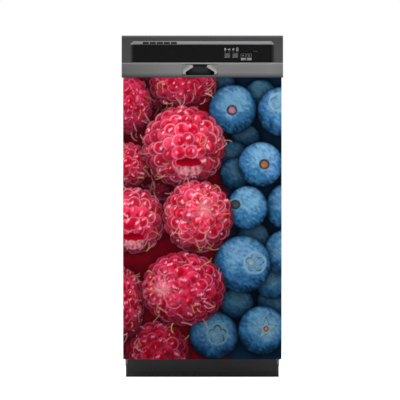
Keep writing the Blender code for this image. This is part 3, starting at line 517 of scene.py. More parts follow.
def paintRaspberry(picture, spotsX, spotsZ, berry, seed):
    cx, cz, rx, rz, glow, ripe, turn, count = berry
    ripeness = np.array([1.0, 1 - 0.47 * ripe, 1 - 0.22 * ripe])
    rng = np.random.default_rng(seed)
    area = window(spotsX, spotsZ, cx, cz, max(rx, rz) * 1.25)
    if area is None:
        return
    x, z = spotsX[area], spotsZ[area]
    u, v = (x - cx) / rx, (z - cz) / rz
    away = np.sqrt(u * u + v * v)
    part = picture[area]
    shadeBehind(part, (away - 1) * min(rx, rz), 9, 0.75)
    spots = drupeletSpots(count, turn, rng)
    spots = spots[spots[:, 2] > -0.25]
    size = 1.28 * math.sqrt(math.pi / count)
    deepest = np.full(x.shape, -9.0)
    crimson, deep, pink, pale = (hexColour(c) for c in ("e6123a", "84021a", "f05874", "f8a4b0"))
    dull, milk = hexColour("d0546e"), hexColour("f87890")
    haze = rise(0.42, 0.66, mottle(x, z, 15, seed + 2, 3))
    for spot in spots[np.argsort(spots[:, 2])]:
        radius = size * rng.uniform(0.88, 1.12)
        sx, sz, sw = spot * (1 - radius * 0.75)
        du, dv = (u - sx) / radius, (v - sz) / radius
        near = du * du + dv * dv
        rows, columns = np.nonzero(near < 1)
        if not len(rows):
            continue
        du, dv, near = du[rows, columns], dv[rows, columns], near[rows, columns]
        height = np.sqrt(1 - near)
        depth = sw + radius * height * 0.8
        shown = depth > deepest[rows, columns]
        rows, columns, du, dv = rows[shown], columns[shown], du[shown], dv[shown]
        near, height, depth = near[shown], height[shown], depth[shown]
        deepest[rows, columns] = depth
        reach = np.sqrt(near)
        lit = 0.42 + 0.58 * np.clip(-0.15 * du + 0.45 * dv + 0.85 * height, 0, 1)
        whole = 0.36 + 0.80 * np.clip(-0.05 * sx + 0.30 * sz + 0.80 * max(sw, 0), 0, 1)
        tone = crimson * (1 - 0.45 * rise(0.25, 0.95, reach))[:, None]
        tone += pink * (0.45 * rise(0.25, 0.9, reach))[:, None]
        fade = rng.uniform(0.0, 0.45)
        tone = tone * (1 - fade) + dull * fade
        cloud = haze[rows, columns][:, None] * 0.34
        tone = tone * (1.0 - 0.25 * (1 - haze[rows, columns]))[:, None] * (1 - cloud) + milk * cloud
        line = rise(0.66, 0.84, reach) * (1 - rise(0.88, 0.98, reach)) * (0.12 + 0.5 * rng.random() ** 1.5)
        tone = tone * (lit * whole)[:, None]
        tone = tone * (1 - line)[:, None] + pale * (line * min(whole * 1.05, 1))[:, None]
        edge = rise(0.88, 1.0, reach) * 0.88
        tone = tone * (1 - edge)[:, None] + deep * (edge * whole)[:, None]
        hx, hz = rng.normal(-0.20, 0.22), rng.normal(0.18, 0.22)
        lean, slant = rng.normal(0.2, 0.5), rng.normal(1.5, 0.35)
        for step in range(rng.integers(1, 5)):  # a row of short glints, side by side
            gx, gz = du - hx - step * 0.21 * math.cos(lean), dv - hz - step * 0.21 * math.sin(lean)
            along = (gx * math.cos(slant) + gz * math.sin(slant)) / rng.uniform(0.09, 0.20)
            across = (gz * math.cos(slant) - gx * math.sin(slant)) / 0.075
            spark = np.exp(-(along**2 + across**2)) * rng.uniform(0.3, 1.15) * whole
            tone = tone + spark[:, None] * (np.array([1.0, 0.88, 0.90]) - tone * 0.6)
        tone = tone * ripeness * glow
        part[rows, columns] = tone * np.minimum(tone / redInk, 1) ** 0.45
    grain = 0.86 + 0.28 * mottle(x, z, 9, seed, 2)
    inside = deepest > -5
    part[inside] *= grain[inside][:, None]
    hairs(picture, spotsX, spotsZ, cx, cz, rx, rz, glow, rng)


def hairs(picture, spotsX, spotsZ, cx, cz, rx, rz, glow, rng):
    # the fruit's dry styles: pale threads that start near its edge and curve at a steady rate
    straw, rose = hexColour("d8a062"), hexColour("f0a4a8")
    for _ in range(int(10 + rx / 7)):
        angle, out = rng.uniform(0, 2 * np.pi), math.sqrt(rng.uniform(0.1, 1.05))
        start = np.array([cx + rx * out * math.cos(angle), cz + rz * out * math.sin(angle)])
        heading = angle + rng.normal(0, 0.9)
        length = rng.uniform(14, 34)
        bend = rng.normal(0, 0.9)
        share = np.linspace(0, 1, 22)
        turn = heading + bend * share
        path = start + np.cumsum(np.stack([np.cos(turn), np.sin(turn)], 1), 0) * length / 22
        area = window(spotsX, spotsZ, *path.mean(0), length)
        if area is None:
            continue
        gap = np.full(spotsX[area].shape, 99.0)
        for px, pz in path:
            gap = np.minimum(gap, np.hypot(spotsX[area] - px, spotsZ[area] - pz))
        cover = (1 - rise(0.5, 1.9, gap)) * rng.uniform(0.35, 0.8)
        colour = (straw if rng.random() < 0.45 else rose) * min(1, glow) * rng.uniform(0.6, 1.0)
        lay(picture[area], cover, colour)


def paintMouth(picture, spotsX, spotsZ, cx, cz, half, tall, seed):
    # an ellipse with a scalloped rim, over a lip that is ribbed by a sine of x and crumbled by noise
    area = window(spotsX, spotsZ, cx, cz, half * 1.5)
    x, z = spotsX[area], spotsZ[area]
    part = picture[area]
    u = (x - cx) / half
    scallop = 2.2 * np.sin(u * 9.0) + 3.0 * (mottle(x, z, 14, seed, 2) - 0.5)
    ribs = np.sin(u * 15 + 9 * mottle(x, z, 18, seed + 4, 2))
    crumb = mottle(x, z, 7, seed + 9, 3)
    below = np.abs((z - (cz - tall * 1.6)) / (tall * 1.7)) ** 3
    lip = rise(1.0, 0.7, np.abs(u / 1.12) + below + 0.5 * (crumb - 0.5))
    lay(part, lip * 0.85, hexColour("dc8490") * (0.50 + 0.22 * ribs + 1.3 * (crumb - 0.35))[..., None])
    hole = rise(1.06, 0.90, u**2 + ((z + scallop * 0.5 - cz) / tall) ** 2)
    lay(part, hole, hexColour("8c0018") * (0.55 + 0.9 * rise(-1, 1.2, (cz - z) / tall))[..., None])


def paintHeart(picture, spotsX, spotsZ, cx, cz, radius, seed):
    # the pale middle that the drupelets fan out from: rays by the angle, rings by the distance
    area = window(spotsX, spotsZ, cx, cz, radius * 2.2)
    x, z = spotsX[area] - cx, spotsZ[area] - cz
    around, out = np.arctan2(z, x), np.hypot(x, z) / radius
    rays = 0.5 + 0.5 * np.sin(around * 15 + 7 * mottle(x + 90, z + 90, 16, seed, 2))
    rings = 0.5 + 0.5 * np.sin(out * 11 + 6 * mottle(x + 90, z + 90, 22, seed + 6, 2))
    cover = np.maximum(rise(1.0, 0.1, out) * (0.35 + 0.5 * rays), rise(2.1, 0.6, out) * rays**3 * rings * 0.75)
    tone = hexColour("e8909c") * (0.70 + 0.6 * mottle(x + 50, z + 50, 5, seed + 3, 2))[..., None]
    lay(picture[area], cover, tone)


def paintBlueberry(picture, spotsX, spotsZ, berry, seed):
    cx, cz, rx, rz, glow, crown = berry
    area = window(spotsX, spotsZ, cx, cz, max(rx, rz) * 1.3)
    x, z = spotsX[area], spotsZ[area]
    part = picture[area]
    u, v = (x - cx) / rx, (z - cz) / rz
    away = np.sqrt(u * u + v * v) + 0.03 * (mottle(x, z, 60, seed + 5, 1) - 0.5)
    shadeBehind(part, (away - 1) * min(rx, rz), 11, 0.80)
    w = np.sqrt(np.clip(1 - away * away, 0, 1))
    lit = np.clip(0.05 * u + 0.42 * v + 0.88 * w, 0, 1)
    navy, mid, bloom = hexColour("0f2c42"), hexColour("3c6c8e"), hexColour("9cbccb")
    powder = mottle(x, z, 26, seed, 3)
    fine = mottle(x + z * 0.5, z, 6.5, seed + 7, 2)
    dusty = np.clip(0.15 + 0.95 * lit**1.5 + 0.55 * (powder - 0.5) + 0.42 * (fine - 0.5), 0, 1)
    tone = navy + (mid - navy) * rise(0.0, 0.62, dusty)[..., None]
    tone = tone + (bloom - tone) * (0.72 * rise(0.50, 1.25, dusty))[..., None]
    tone = tone * (0.72 + 0.56 * fine)[..., None]
    violet = rise(0.52, 0.72, mottle(x, z, 38, seed + 11, 1))
    tone = tone * (1 + violet[..., None] * np.array([0.10, -0.04, 0.03]))
    tint = np.array([0.46 + 0.30 * glow, 0.93 + 0.07 * glow, 1.17])
    lay(part, rise(1.012, 0.985, away), tone * (0.28 + 0.72 * rise(0.0, 0.62, w))[..., None] * glow * tint)
    if crown:
        paintCrown(picture, spotsX, spotsZ, crown, glow, seed)


def starEdge(angle, valley):
    # a five-pointed star's rim: the straight line from a tip at 1 to a valley, in polar form
    share = math.radians(36)
    turn = np.abs((angle + share) % (2 * share) - share)
    stepX, stepZ = valley * math.cos(share) - 1, valley * math.sin(share)
    return stepZ / (stepZ * np.cos(turn) - stepX * np.sin(turn))


def paintCrown(picture, spotsX, spotsZ, crown, glow, seed):
    # the flower's scar, in bands by the distance from its middle: a button, a ring of sepals, or a star
    kind, cx, cz, radius, code = crown
    area = window(spotsX, spotsZ, cx, cz, radius * 1.6)
    x, z = spotsX[area] - cx, spotsZ[area] - cz
    part = picture[area]
    around, out = np.arctan2(z, x), np.hypot(x, z) / radius
    heart = hexColour(code)
    dark = hexColour("06141f")
    pale = hexColour("7ba3b8") * glow
    rough = mottle(x + 70, z + 70, 6, seed, 2)
    if kind == "button":
        lay(part, rise(1.55, 1.0, out) * 0.35, pale)
        lay(part, rise(1.05, 0.92, out) * 0.90, dark * 1.6)
        lay(part, rise(0.80, 0.45, out + 0.5 * (rough - 0.5)) * 0.9, heart * (0.45 + 1.1 * rough)[..., None])
        return
    petal = np.abs(np.cos(2.5 * (around - math.pi / 2)))
    if kind == "star":
        edge = starEdge(around - math.pi / 2, 0.40)
        lay(part, rise(1.35, 0.95, out) * 0.30, pale)
        fromLight = 0.35 + 0.65 * rise(-0.4, 0.9, z / radius)
        lay(part, rise(edge * 1.22, edge * 1.08, out) * fromLight * 0.85, dark)
        lay(part, rise(edge * 1.04, edge * 0.94, out), pale * (0.85 + 0.3 * rough)[..., None])
        lay(part, rise(0.27, 0.20, out), dark)
        lay(part, rise(0.20, 0.10, out), heart * 1.4)
        return
    lay(part, rise(1.08, 0.90, out) * 0.45, pale * (0.8 + 0.4 * rough)[..., None])
    lay(part, np.exp(-(((out - 0.95) / 0.09) ** 2)) * 0.5, pale * 1.25)
    edge = 0.48 + 0.34 * petal**0.7
    broken = rise(0.36, 0.56, mottle(x + 30, z + 30, 13, seed + 8, 2))
    fromLight = 0.45 + 0.55 * rise(-0.9, 0.5, (x + z) / radius)
    lay(part, np.exp(-(((out - edge) / 0.075) ** 2)) * broken * fromLight, dark)
    lay(part, np.exp(-(((out - edge - 0.14) / 0.07) ** 2)) * 0.5, pale * 1.2)
    lay(part, rise(0.22, 0.10, np.hypot(x + radius * 0.35, z) / radius) * 0.55, heart)


def printedPicture(spotsX, spotsZ):  # the whole print, back to front, as linear colour for each grid point
    layout = printLayout
    side = rise(layout["split"] - 25, layout["split"] + 25, spotsX)[..., None]
    warm, cold = (hexColour(code) for code in layout["ground"])
    picture = (warm * (1 - side) + cold * side) * (0.5 + 1.0 * mottle(spotsX, spotsZ, 30, 3)[..., None])
    red, behind = layout["raspberries"], layout["behind"]
    for seed, berry in enumerate(red[:behind]):
        paintRaspberry(picture, spotsX, spotsZ, berry, 100 + seed)
    for seed, berry in enumerate(layout["blueberries"]):
        paintBlueberry(picture, spotsX, spotsZ, berry, 300 + seed * 5)
    for number in range(behind, len(red)):
        paintRaspberry(picture, spotsX, spotsZ, red[number], 200 + number - behind)
        if number in layout["mouths"]:
            paintMouth(picture, spotsX, spotsZ, *layout["mouths"][number])
        if number in layout["hearts"]:
            paintHeart(picture, spotsX, spotsZ, *layout["hearts"][number])
    return np.clip(picture, 0, 1)


# Pieces


def joined(parts):  # several (points, faces) as one, with the corner numbers moved on
    points, faces, start = [], [], 0
    for spots, rows in parts:
        points.append(np.asarray(spots).reshape(-1, 3))
        faces += [[int(i) + start for i in row] for row in rows]
        start += len(points[-1])
    return np.concatenate(points), faces


def makePiece(name, parts, body, finish, slot, stands=(), smooth=True, closed=True):
    # parts: (points, faces) each, with points in metres and faces as rows of corner numbers
    points, faces = joined(parts)
    mesh = bpy.data.meshes.new(name)
    mesh.from_pydata(points.tolist(), [], faces)
    mesh.update()
    mesh.validate()
    if smooth:
        mesh.shade_smooth()
        mesh.set_sharp_from_angle(angle=math.radians(35))
    mesh.materials.append(materials[finish])
    piece = addToScene(name, mesh)
    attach(piece, body)
    if stands:
        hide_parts(*stands)
    if closed:  # its faces are turned to point out
        shell = bmesh.new()
        shell.from_mesh(mesh)
        bmesh.ops.recalc_face_normals(shell, faces=shell.faces)
        shell.to_mesh(mesh)
        shell.free()
    return piece


def bodyOf(node):
    return nodes[node]["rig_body"]


def gridFaces(rows, columns, closeRows=False, closeColumns=False):  # corner numbers of a grid of points
    r = np.arange(rows if closeRows else rows - 1)
    c = np.arange(columns if closeColumns else columns - 1)
    r, c = np.meshgrid(r, c, indexing="ij")
    nextR, nextC = (r + 1) % rows, (c + 1) % columns
    corners = [r * columns + c, r * columns + nextC, nextR * columns + nextC, nextR * columns + c]
    return np.stack(corners, -1).reshape(-1, 4)


def roundedRoute(corners, radius, steps=4, closed=False):
    # a route through corners, each inner one replaced by a quadratic curve between its two tangent points
    corners = np.asarray(corners, float)
    count = len(corners)
    route = []
    for i in range(count):
        if not closed and i in (0, count - 1):
            route.append(corners[i][None])
            continue
        before, here, after = corners[i - 1], corners[i], corners[(i + 1) % count]
        back, on = before - here, after - here
        cut = min(radius, np.linalg.norm(back) / 2.01, np.linalg.norm(on) / 2.01)
        start = here + back / np.linalg.norm(back) * cut
        end = here + on / np.linalg.norm(on) * cut
        t = np.linspace(0, 1, steps)[:, None]
        route.append(start * (1 - t) ** 2 + here * 2 * t * (1 - t) + end * t**2)
    return np.concatenate(route)


def tubeFaces(rows, sides):  # corner numbers of a tube of rings, with a flat cap at each end
    last = (rows - 1) * sides
    caps = [list(range(sides))[::-1], [last + i for i in range(sides)]]
    return gridFaces(rows, sides, closeColumns=True).tolist() + caps


def wire(route, radius, sides=8, closed=False):
    # a ring of points round each point of the route, square to its direction, and ends that narrow to 0.55
    route = np.asarray(route, float)
    ahead = np.roll(route, -1, 0) - np.roll(route, 1, 0) if closed else np.gradient(route, axis=0)
    ahead /= np.linalg.norm(ahead, axis=1)[:, None]
    across = np.zeros_like(route)
    guide = np.eye(3)[np.argmin(np.abs(ahead[0]))]
    for i, way in enumerate(ahead):  # the guide is carried along, so the rings never twist
        guide = guide - way * guide.dot(way)
        guide = guide / np.linalg.norm(guide)
        across[i] = guide
    beside = np.cross(ahead, across)
    scale = np.full(len(route), radius)
    if not closed:
        twice = [0, *range(len(route)), -1]
        route, across, beside, scale = route[twice], across[twice], beside[twice], scale[twice]
        scale[[0, -1]] *= 0.55
        for end, after, beyond in ((0, 1, 2), (-1, -2, -3)):
            way = route[beyond] - route[end]
            route[after] = route[end] + way / np.linalg.norm(way) * radius * 0.4
    angle = np.arange(sides) / sides * 2 * np.pi
    ring = np.cos(angle)[None, :, None] * across[:, None] + np.sin(angle)[None, :, None] * beside[:, None]
    points = route[:, None] + ring * scale[:, None, None]
    rows = len(route)
    faces = gridFaces(rows, sides, True, True).tolist() if closed else tubeFaces(rows, sides)
    return points.reshape(-1, 3), [face[::-1] for face in faces]


def turned(profile, steps, spot, across, beside, along):
    # each ring is the spot, plus r times a circle in the across and beside directions, plus h along
    turn = np.arange(steps) / steps * 2 * np.pi
    circle = np.cos(turn)[:, None] * across + np.sin(turn)[:, None] * beside
    rings = [np.asarray(spot) + circle * r + np.asarray(along) * h for r, h in profile]
    return np.stack(rings).reshape(-1, 3), tubeFaces(len(profile), steps)


def slab(outline, low, high, axis=1):  # an outline in the two other axes, pulled from low to high along an axis
    outline = np.asarray(outline, float)
    count = len(outline)
    others = [i for i in range(3) if i != axis]
    points = np.zeros((2 * count, 3))
    points[:, others[0]] = np.tile(outline[:, 0], 2)
    points[:, others[1]] = np.tile(outline[:, 1], 2)
    points[:count, axis] = low
    points[count:, axis] = high
    i = np.arange(count)
    sides = np.stack([i, (i + 1) % count, (i + 1) % count + count, i + count], 1).tolist()
    return points, sides + [i[::-1].tolist(), (i + count).tolist()]


def roundedBox2d(x0, x1, z0, z1, radius, steps=4):  # a rectangle's outline with quarter circles at its corners
    radius = min(radius, (x1 - x0) / 2, (z1 - z0) / 2)
    arc = np.linspace(0, np.pi / 2, steps)
    right, left, top, foot = x1 - radius, x0 + radius, z1 - radius, z0 + radius
    turns = [arc + quarter * np.pi / 2 for quarter in range(4)]
    middles = ((right, top), (left, top), (left, foot), (right, foot))
    arcs = [(cx + radius * np.cos(t), cz + radius * np.sin(t)) for t, (cx, cz) in zip(turns, middles)]
    return np.concatenate([np.stack(line, 1) for line in arcs])


def frameOf(outer, inner, low, high, axis=1):  # a flat frame between two outlines with as many points each
    outer, inner = np.asarray(outer, float), np.asarray(inner, float)
    count = len(outer)
    others = [i for i in range(3) if i != axis]
    rings = np.zeros((4, count, 3))
    for k, (line, depth) in enumerate([(outer, low), (outer, high), (inner, high), (inner, low)]):
        rings[k, :, others[0]], rings[k, :, others[1]], rings[k, :, axis] = line[:, 0], line[:, 1], depth
    return rings.reshape(-1, 3), gridFaces(4, count, closeRows=True, closeColumns=True).tolist()


# Printed cover

coverLook = {
    "cell": 2.0 * mm,
    "peel": 1.4 * mm,  # the laminate's ripple
    "mist": (0.93, 1.07),  # how much the ripple dims and lifts the ink
    "sheen": (0.34, 0.44),
    "gloss": 0.02,
    "rim": "3a3a3c",
}


def printedVinyl():
    # magnetic vinyl with an ink-jet print under a satin laminate: soft gloss over full colours, a faint peel
    look = coverLook
    made = bpy.data.materials.new("inkPrintedVinyl")
    made.use_nodes = True
    tree = made.node_tree
    shader = tree.nodes["Principled BSDF"]
    shader.inputs["IOR"].default_value = 1.53
    shader.inputs["Specular IOR Level"].default_value = look["gloss"]
    ink = addNode(tree, "VertexColor", layer_name="ink")
    place = addNode(tree, "TexCoord").outputs["Object"]
    peel = {"Vector": place, "Scale": 1 / look["peel"], "Detail": 2.0}
    grain = addNode(tree, "TexNoise", peel).outputs["Fac"]
    drift = []
    for low, high in (look["mist"], look["sheen"]):
        span = {"Value": grain, "From Min": 0.3, "From Max": 0.7, "To Min": low, "To Max": high}
        drift.append(addNode(tree, "MapRange", span).outputs["Result"])
    tint = addNode(tree, "VectorMath", {0: ink.outputs["Color"], "Scale": drift[0]}, operation="SCALE")
    tree.links.new(tint.outputs["Vector"], shader.inputs["Base Color"])
    tree.links.new(drift[1], shader.inputs["Roughness"])
    bump = addNode(tree, "Bump", {"Strength": 0.05, "Distance": 0.05 * mm, "Height": grain})
    tree.links.new(bump.outputs["Normal"], shader.inputs["Normal"])
    return made


materials["inkPrintedVinyl"] = printedVinyl()


def makeCover():
    # a grid of points over the sheet's front that carries the ink, its rim pulled back to the door, and a back
    # stitched across that rim row by row
    x0, x1, front, back, z0, z1 = edges("print_cover")
    columns = round((x1 - x0) / coverLook["cell"]) + 1
    rows = round((z1 - z0) / coverLook["cell"]) + 1
    x, z = np.meshgrid(np.linspace(x0, x1, columns), np.linspace(z0, z1, rows))
    face = np.stack([x, np.full_like(x, front), z], -1).reshape(-1, 3)
    index = np.arange(rows * columns).reshape(rows, columns)
    rim = np.concatenate([index[0], index[1:, -1], index[-1, -2::-1], index[-2:0:-1, 0]])
    behind = face[rim] + np.array([0, back - front, 0])
    count, start = len(rim), rows * columns
    i = np.arange(count)
    after = (i + 1) % count
    sides = np.stack([rim, rim[after], start + after, start + i], 1)
    foot = start + np.arange(columns)
    right = start + columns - 1 + np.arange(rows)
    top = right[-1] + np.arange(columns)
    left = np.concatenate([foot[:1], start + count - 1 - np.arange(rows - 2), top[-1:]])
    middle = np.stack([right[1:-2], left[1:-2], left[2:-1], right[2:-1]], 1)[:, ::-1]
    ends = [[left[1], right[1], *foot[::-1]], [right[-2], left[-2], *top[::-1]]]
    faces = gridFaces(rows, columns).tolist() + sides.tolist() + middle.tolist() + ends
    sheet = [(np.concatenate([face, behind]), faces)]
    own = ("door", "inkPrintedVinyl", "print_film", ["print_cover"])
    piece = makePiece("printed_cover", sheet, *own, smooth=False)
    colours = np.ones((len(face) + count, 4))
    colours[: len(face), :3] = printedPicture(x / mm, z / mm).reshape(-1, 3)
    colours[len(face) :, :3] = hexColour(coverLook["rim"])
    ink = piece.data.color_attributes.new("ink", "FLOAT_COLOR", "POINT")
    ink.data.foreach_set("color", colours.astype(np.float32).ravel())


makeCover()
print("printed cover made")


# Window marks, keys and pocket

markLook = {  # sizes in mm, x from the middle and z from the floor
    "ink": 0.06 * mm,  # how far the ink stands off the glass
    "root": 0.01 * mm,  # and how near to it the ink begins
    "iconX": (63.5, 74.7, 86.0, 97.0),
    "iconZ": 911.0,
    "dashZ": 903.4,
    "blocks": ((60.9, 76.6), (83.3, 99.0)),
    "blockZ": (887.8, 899.0),
    "labels": ((107.0, 120.5), (123.5, 137.0)),
    "labelZ": (881.2, 886.0),
    "note": ((142.0, 144.5), (146.5, 153.0)),
    "noteZ": 905.2,
    "keyInset": 0.3,
    "keyLine": 0.8,
}


def inkDepth(front):
    return front - markLook["ink"], front - markLook["root"]


def bar(cx, cz, halfWidth, halfHeight, front, radius=0.5):  # a flat round-cornered bar of ink, sizes in mm
    box = ((cx - halfWidth) * mm, (cx + halfWidth) * mm, (cz - halfHeight) * mm, (cz + halfHeight) * mm)
    return slab(roundedBox2d(*box, radius * mm), *inkDepth(front))


def hoop(cx, cz, radius, width, front, steps=20):  # a flat ring of ink
    turn = np.arange(steps) / steps * 2 * np.pi
    circle = np.stack([np.cos(turn), np.sin(turn)], 1)
    middle = np.array([cx, cz]) * mm
    return frameOf(middle + circle * radius * mm, middle + circle * (radius - width) * mm, *inkDepth(front))


def makeMarks():
    look = markLook
    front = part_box("display_window")[0].y
    x, z = look["iconX"], look["iconZ"]
    bright = [hoop(x[0], z, 2.8, 0.8, front), bar(x[0], z + 0.1, 0.5, 1.5, front)]
    bright += [bar(x[1] + k * 2.4, z - abs(k) * 0.8, 0.5, 2.6 - abs(k) * 0.8, front) for k in (-1, 0, 1)]
    bright += [bar(x[2], z + k * 2.1, 2.8, 0.4, front) for k in (-1, 0, 1)]
    bright += [hoop(x[3], z + 2.4, 2.4, 0.8, front), hoop(x[3], z - 2.2, 2.8, 0.8, front)]
    low, high = look["labelZ"]
    for x0, x1 in look["labels"]:
        bright += [bar((x0 + x1) / 2, z0, (x1 - x0) / 2, 0.65, front) for z0 in (low + 0.65, high - 0.65)]
    makePiece("window_icons", bright, "door", "screenPrintedInk", "window_acrylic")
    low, high = look["blockZ"]
    dim = []
    for x0, x1 in look["blocks"]:
        for k, z0 in enumerate(np.linspace(low + 0.9, high - 0.9, 4)):
            start = x0 + k % 2 * 1.2  # every other line is indented
            dim.append(bar((start + x1) / 2, z0, (x1 - start) / 2, 0.9, front))
    dim += [bar(spot, look["dashZ"], 2.6, 0.5, front) for spot in x]
    dim += [bar((x0 + x1) / 2, look["noteZ"], (x1 - x0) / 2, 0.4, front) for x0, x1 in look["note"]]
    makePiece("window_blocks", dim, "door", "thinPrintedInk", "window_acrylic")


def makeKeyMarks(key, symbol):
    x0, x1, front, _, z0, z1 = edges(key)
    outlines = []
    for inset, radius in ((markLook["keyInset"], 2.0), (markLook["keyInset"] + markLook["keyLine"], 1.4)):
        gap = inset * mm
        outlines.append(roundedBox2d(x0 + gap, x1 - gap, z0 + gap, z1 - gap, radius * mm))
    parts = [frameOf(*outlines, *inkDepth(front))]
    cx, cz = (x0 + x1) / 2 / mm, (z0 + z1) / 2 / mm
    if symbol == "triangle":
        corners = np.array([(cx - 2.2, cz - 2.4), (cx + 2.2, cz), (cx - 2.2, cz + 2.4)]) * mm
        parts.append(slab(corners, *inkDepth(front)))
    else:
        parts += [bar(cx, cz + k * 1.9, 2.6, 0.45, front) for k in (-1, 0, 1)]
    makePiece(key + "_marks", parts, key, "thinPrintedInk", "window_acrylic")


pocketLook = {
    "ends": ((-55.2, 1), (42.2, -1)),  # the x of each end and the way inwards, mm
    "back": 14.0,
    # finish, stand-off at the end, slope inwards, then the outline as steps inwards and heights, mm
    "facets": {
        "pocket_cheeks": ("satinLacquer", 0.5, 0.10, ((0, 868.8), (14, 868.8), (15, 864), (0, 853))),
        "pocket_bevels": (
            "litSatinLacquer",
            1.6,
            0.12,
            ((13, 868.8), (28.5, 868), (29.8, 861), (7.6, 847.2), (9.8, 841), (2, 841))
            + ((0, 846), (0, 854.5), (14, 864.5)),
        ),
        "pocket_glints": (
            "glintSatinLacquer",
            1.5,
            0.12,
            ((20, 867), (27.6, 866.2), (28.2, 861.6), (7.8, 849.2), (8.2, 843.5), (3.6, 843.5))
            + ((2.8, 849.8), (20, 861.8)),
        ),
    },
    "ventShade": (-170, -64, 922, 936),  # x and z of the black plate behind the five vents, painted shade, mm
}


def makePocket():
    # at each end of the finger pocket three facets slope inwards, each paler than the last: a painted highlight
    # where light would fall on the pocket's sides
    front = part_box("control_fascia")[0].y
    for name, (finish, start, slope, outline) in pocketLook["facets"].items():
        inwards, z = np.array(outline).T
        near, far = front + (start + inwards * slope) * mm, front + pocketLook["back"] * mm
        ends = pocketLook["ends"]
        parts = [slab(np.stack([end + way * inwards, z], 1) * mm, near, far) for end, way in ends]
        makePiece(name, parts, "door", finish, "grey_plastic", smooth=False)
    shade = roundedBox2d(*(side * mm for side in pocketLook["ventShade"]), 2 * mm)
    parts = [slab(shade, front + 12 * mm, front + 13 * mm)]  # a black plate as painted shade, so that the vents read as dark slots
    makePiece("vent_shade", parts, "door", "blackPolypropylene", "black_plastic")


makeMarks()
makeKeyMarks("start_key", "triangle")
makeKeyMarks("programme_key", "bars")
makePocket()
print("window marks and pocket made")


# Toe-kick trim

toeLook = {
    "inset": 5.0 * mm,
    "bead": 0.6 * mm,
    "clip": 1.4 * mm,
    "clipTop": 6.0 * mm,
    "clipRoute": ((3, -12), (4, 0), (11, 3)),  # steps in from the end and up, mm
    "clipBend": 7.0 * mm,
    "lip": (0.2 * mm, 2.4 * mm, 0.6 * mm),  # front, back and overlap
}


def makeToeTrim():
    # a folded bead down each end, a small curved clip at each top corner, and a rubber lip that meets the floor;
    # the beads and clips are painted lighter than the coat as highlights
    look = toeLook
    x0, x1, front, _, z0, z1 = edges("toe_kick")
    beads, clips = [], []
    for end, way in ((x0, 1), (x1, -1)):
        x = end + way * look["inset"]
        beads.append(wire(np.linspace((x, front, z0 + 1 * mm), (x, front, z1 - 1 * mm), 5), look["bead"]))
        top = z1 - look["clipTop"]
        corners = [(end + way * step * mm, front, top + up * mm) for step, up in look["clipRoute"]]
        clips.append(wire(roundedRoute(corners, look["clipBend"], 6), look["clip"]))
    # the beads take the lighter coat, a painted highlight down each end
    makePiece("toe_kick_beads", beads, "cabinet", "coatHighlightEdge", "toe_steel")
    # the clips take the paler strip lacquer, a painted highlight at each top corner
    makePiece("toe_kick_clips", clips, "cabinet", "satinLacquer", "toe_steel")
    near, far, over = look["lip"]
    outline = roundedBox2d(front + near, front + far, near, z0 + over, over, 3)
    makePiece("toe_kick_lip", [slab(outline, x0, x1, axis=0)], "cabinet", "extrudedEpdm", "rubber")


makeToeTrim()


# Racks

rackLook = {
    "wire": 2.0 * mm,
    "rim": 2.6 * mm,
    "pitch": 27 * mm,
    "bend": 16 * mm,
    "rimBend": 12 * mm,
    "end": 14 * mm,  # from a wall to the first wire
    "dip": (60 * mm, 82 * mm),  # where the front rim starts to dip, and where it is down
    "sides": 8,
    "tines": 8,
    "shelfWires": 13,
}


def hungWires(node, parts):
    makePiece(node + "_wires", parts, bodyOf(node), "nylonDippedWire", "rack_vinyl", [node])


def makeRack(node, levels, dip):
    # U-shaped wires run both ways, hung from a thicker rim, with rings part way down the sides
    look = rackLook
    x0, x1, y0, y1, z0, z1 = edges(node)
    r, rim, end, sides = look["wire"], look["rim"], look["end"], look["sides"]
    left, right, near, far = x0 + rim + r, x1 - rim - r, y0 + rim + r, y1 - rim - r
    top, floor, deck = z1 - rim, z0 + r, z0 + 3 * r
    parts = []
    for y in np.linspace(near + end, far - end, round((far - near) / look["pitch"])):
        corners = [(left, y, top), (left, y, floor), (right, y, floor), (right, y, top)]
        parts.append(wire(roundedRoute(corners, look["bend"], 5), r, sides))
    for x in np.linspace(left + end, right - end, round((right - left) / look["pitch"] * 0.75)):
        corners = [(x, near, top), (x, near, deck), (x, far, deck), (x, far, top)]
        parts.append(wire(roundedRoute(corners, look["bend"], 5), r * 0.98, sides))
    for share in levels:
        z, front = z0 + (top - z0) * share, y0 + rim
        ring = [(x0 + rim, front, z), (x1 - rim, front, z), (x1 - rim, y1 - rim, z), (x0 + rim, y1 - rim, z)]
        if share == 1.0 and dip:  # so that plates can be lifted over it
            high, low = look["dip"]
            ring[1:1] = [(x0 + high, front, z), (x0 + low, front, z - dip), (x1 - low, front, z - dip)]
            ring[4:4] = [(x1 - high, front, z)]
        route = roundedRoute(ring, look["rimBend"], 6, closed=True)
        parts.append(wire(route, rim if share == 1.0 else r, sides, closed=True))
    hungWires(node, parts)


def makeTines():
    x0, x1, y0, y1, z0, z1 = edges("tine_row")
    r, y = (y1 - y0) / 2, (y0 + y1) / 2
    parts = [wire(np.linspace((x0 + r, y, z0 + r), (x1 - r, y, z0 + r), 3), r)]
    for x in np.linspace(x0 + r + 6 * mm, x1 - r - 6 * mm, rackLook["tines"]):
        parts.append(wire(np.linspace((x, y, z0 + r), (x, y, z1 - r * 0.2), 6), r * 0.92))
    hungWires("tine_row", parts)


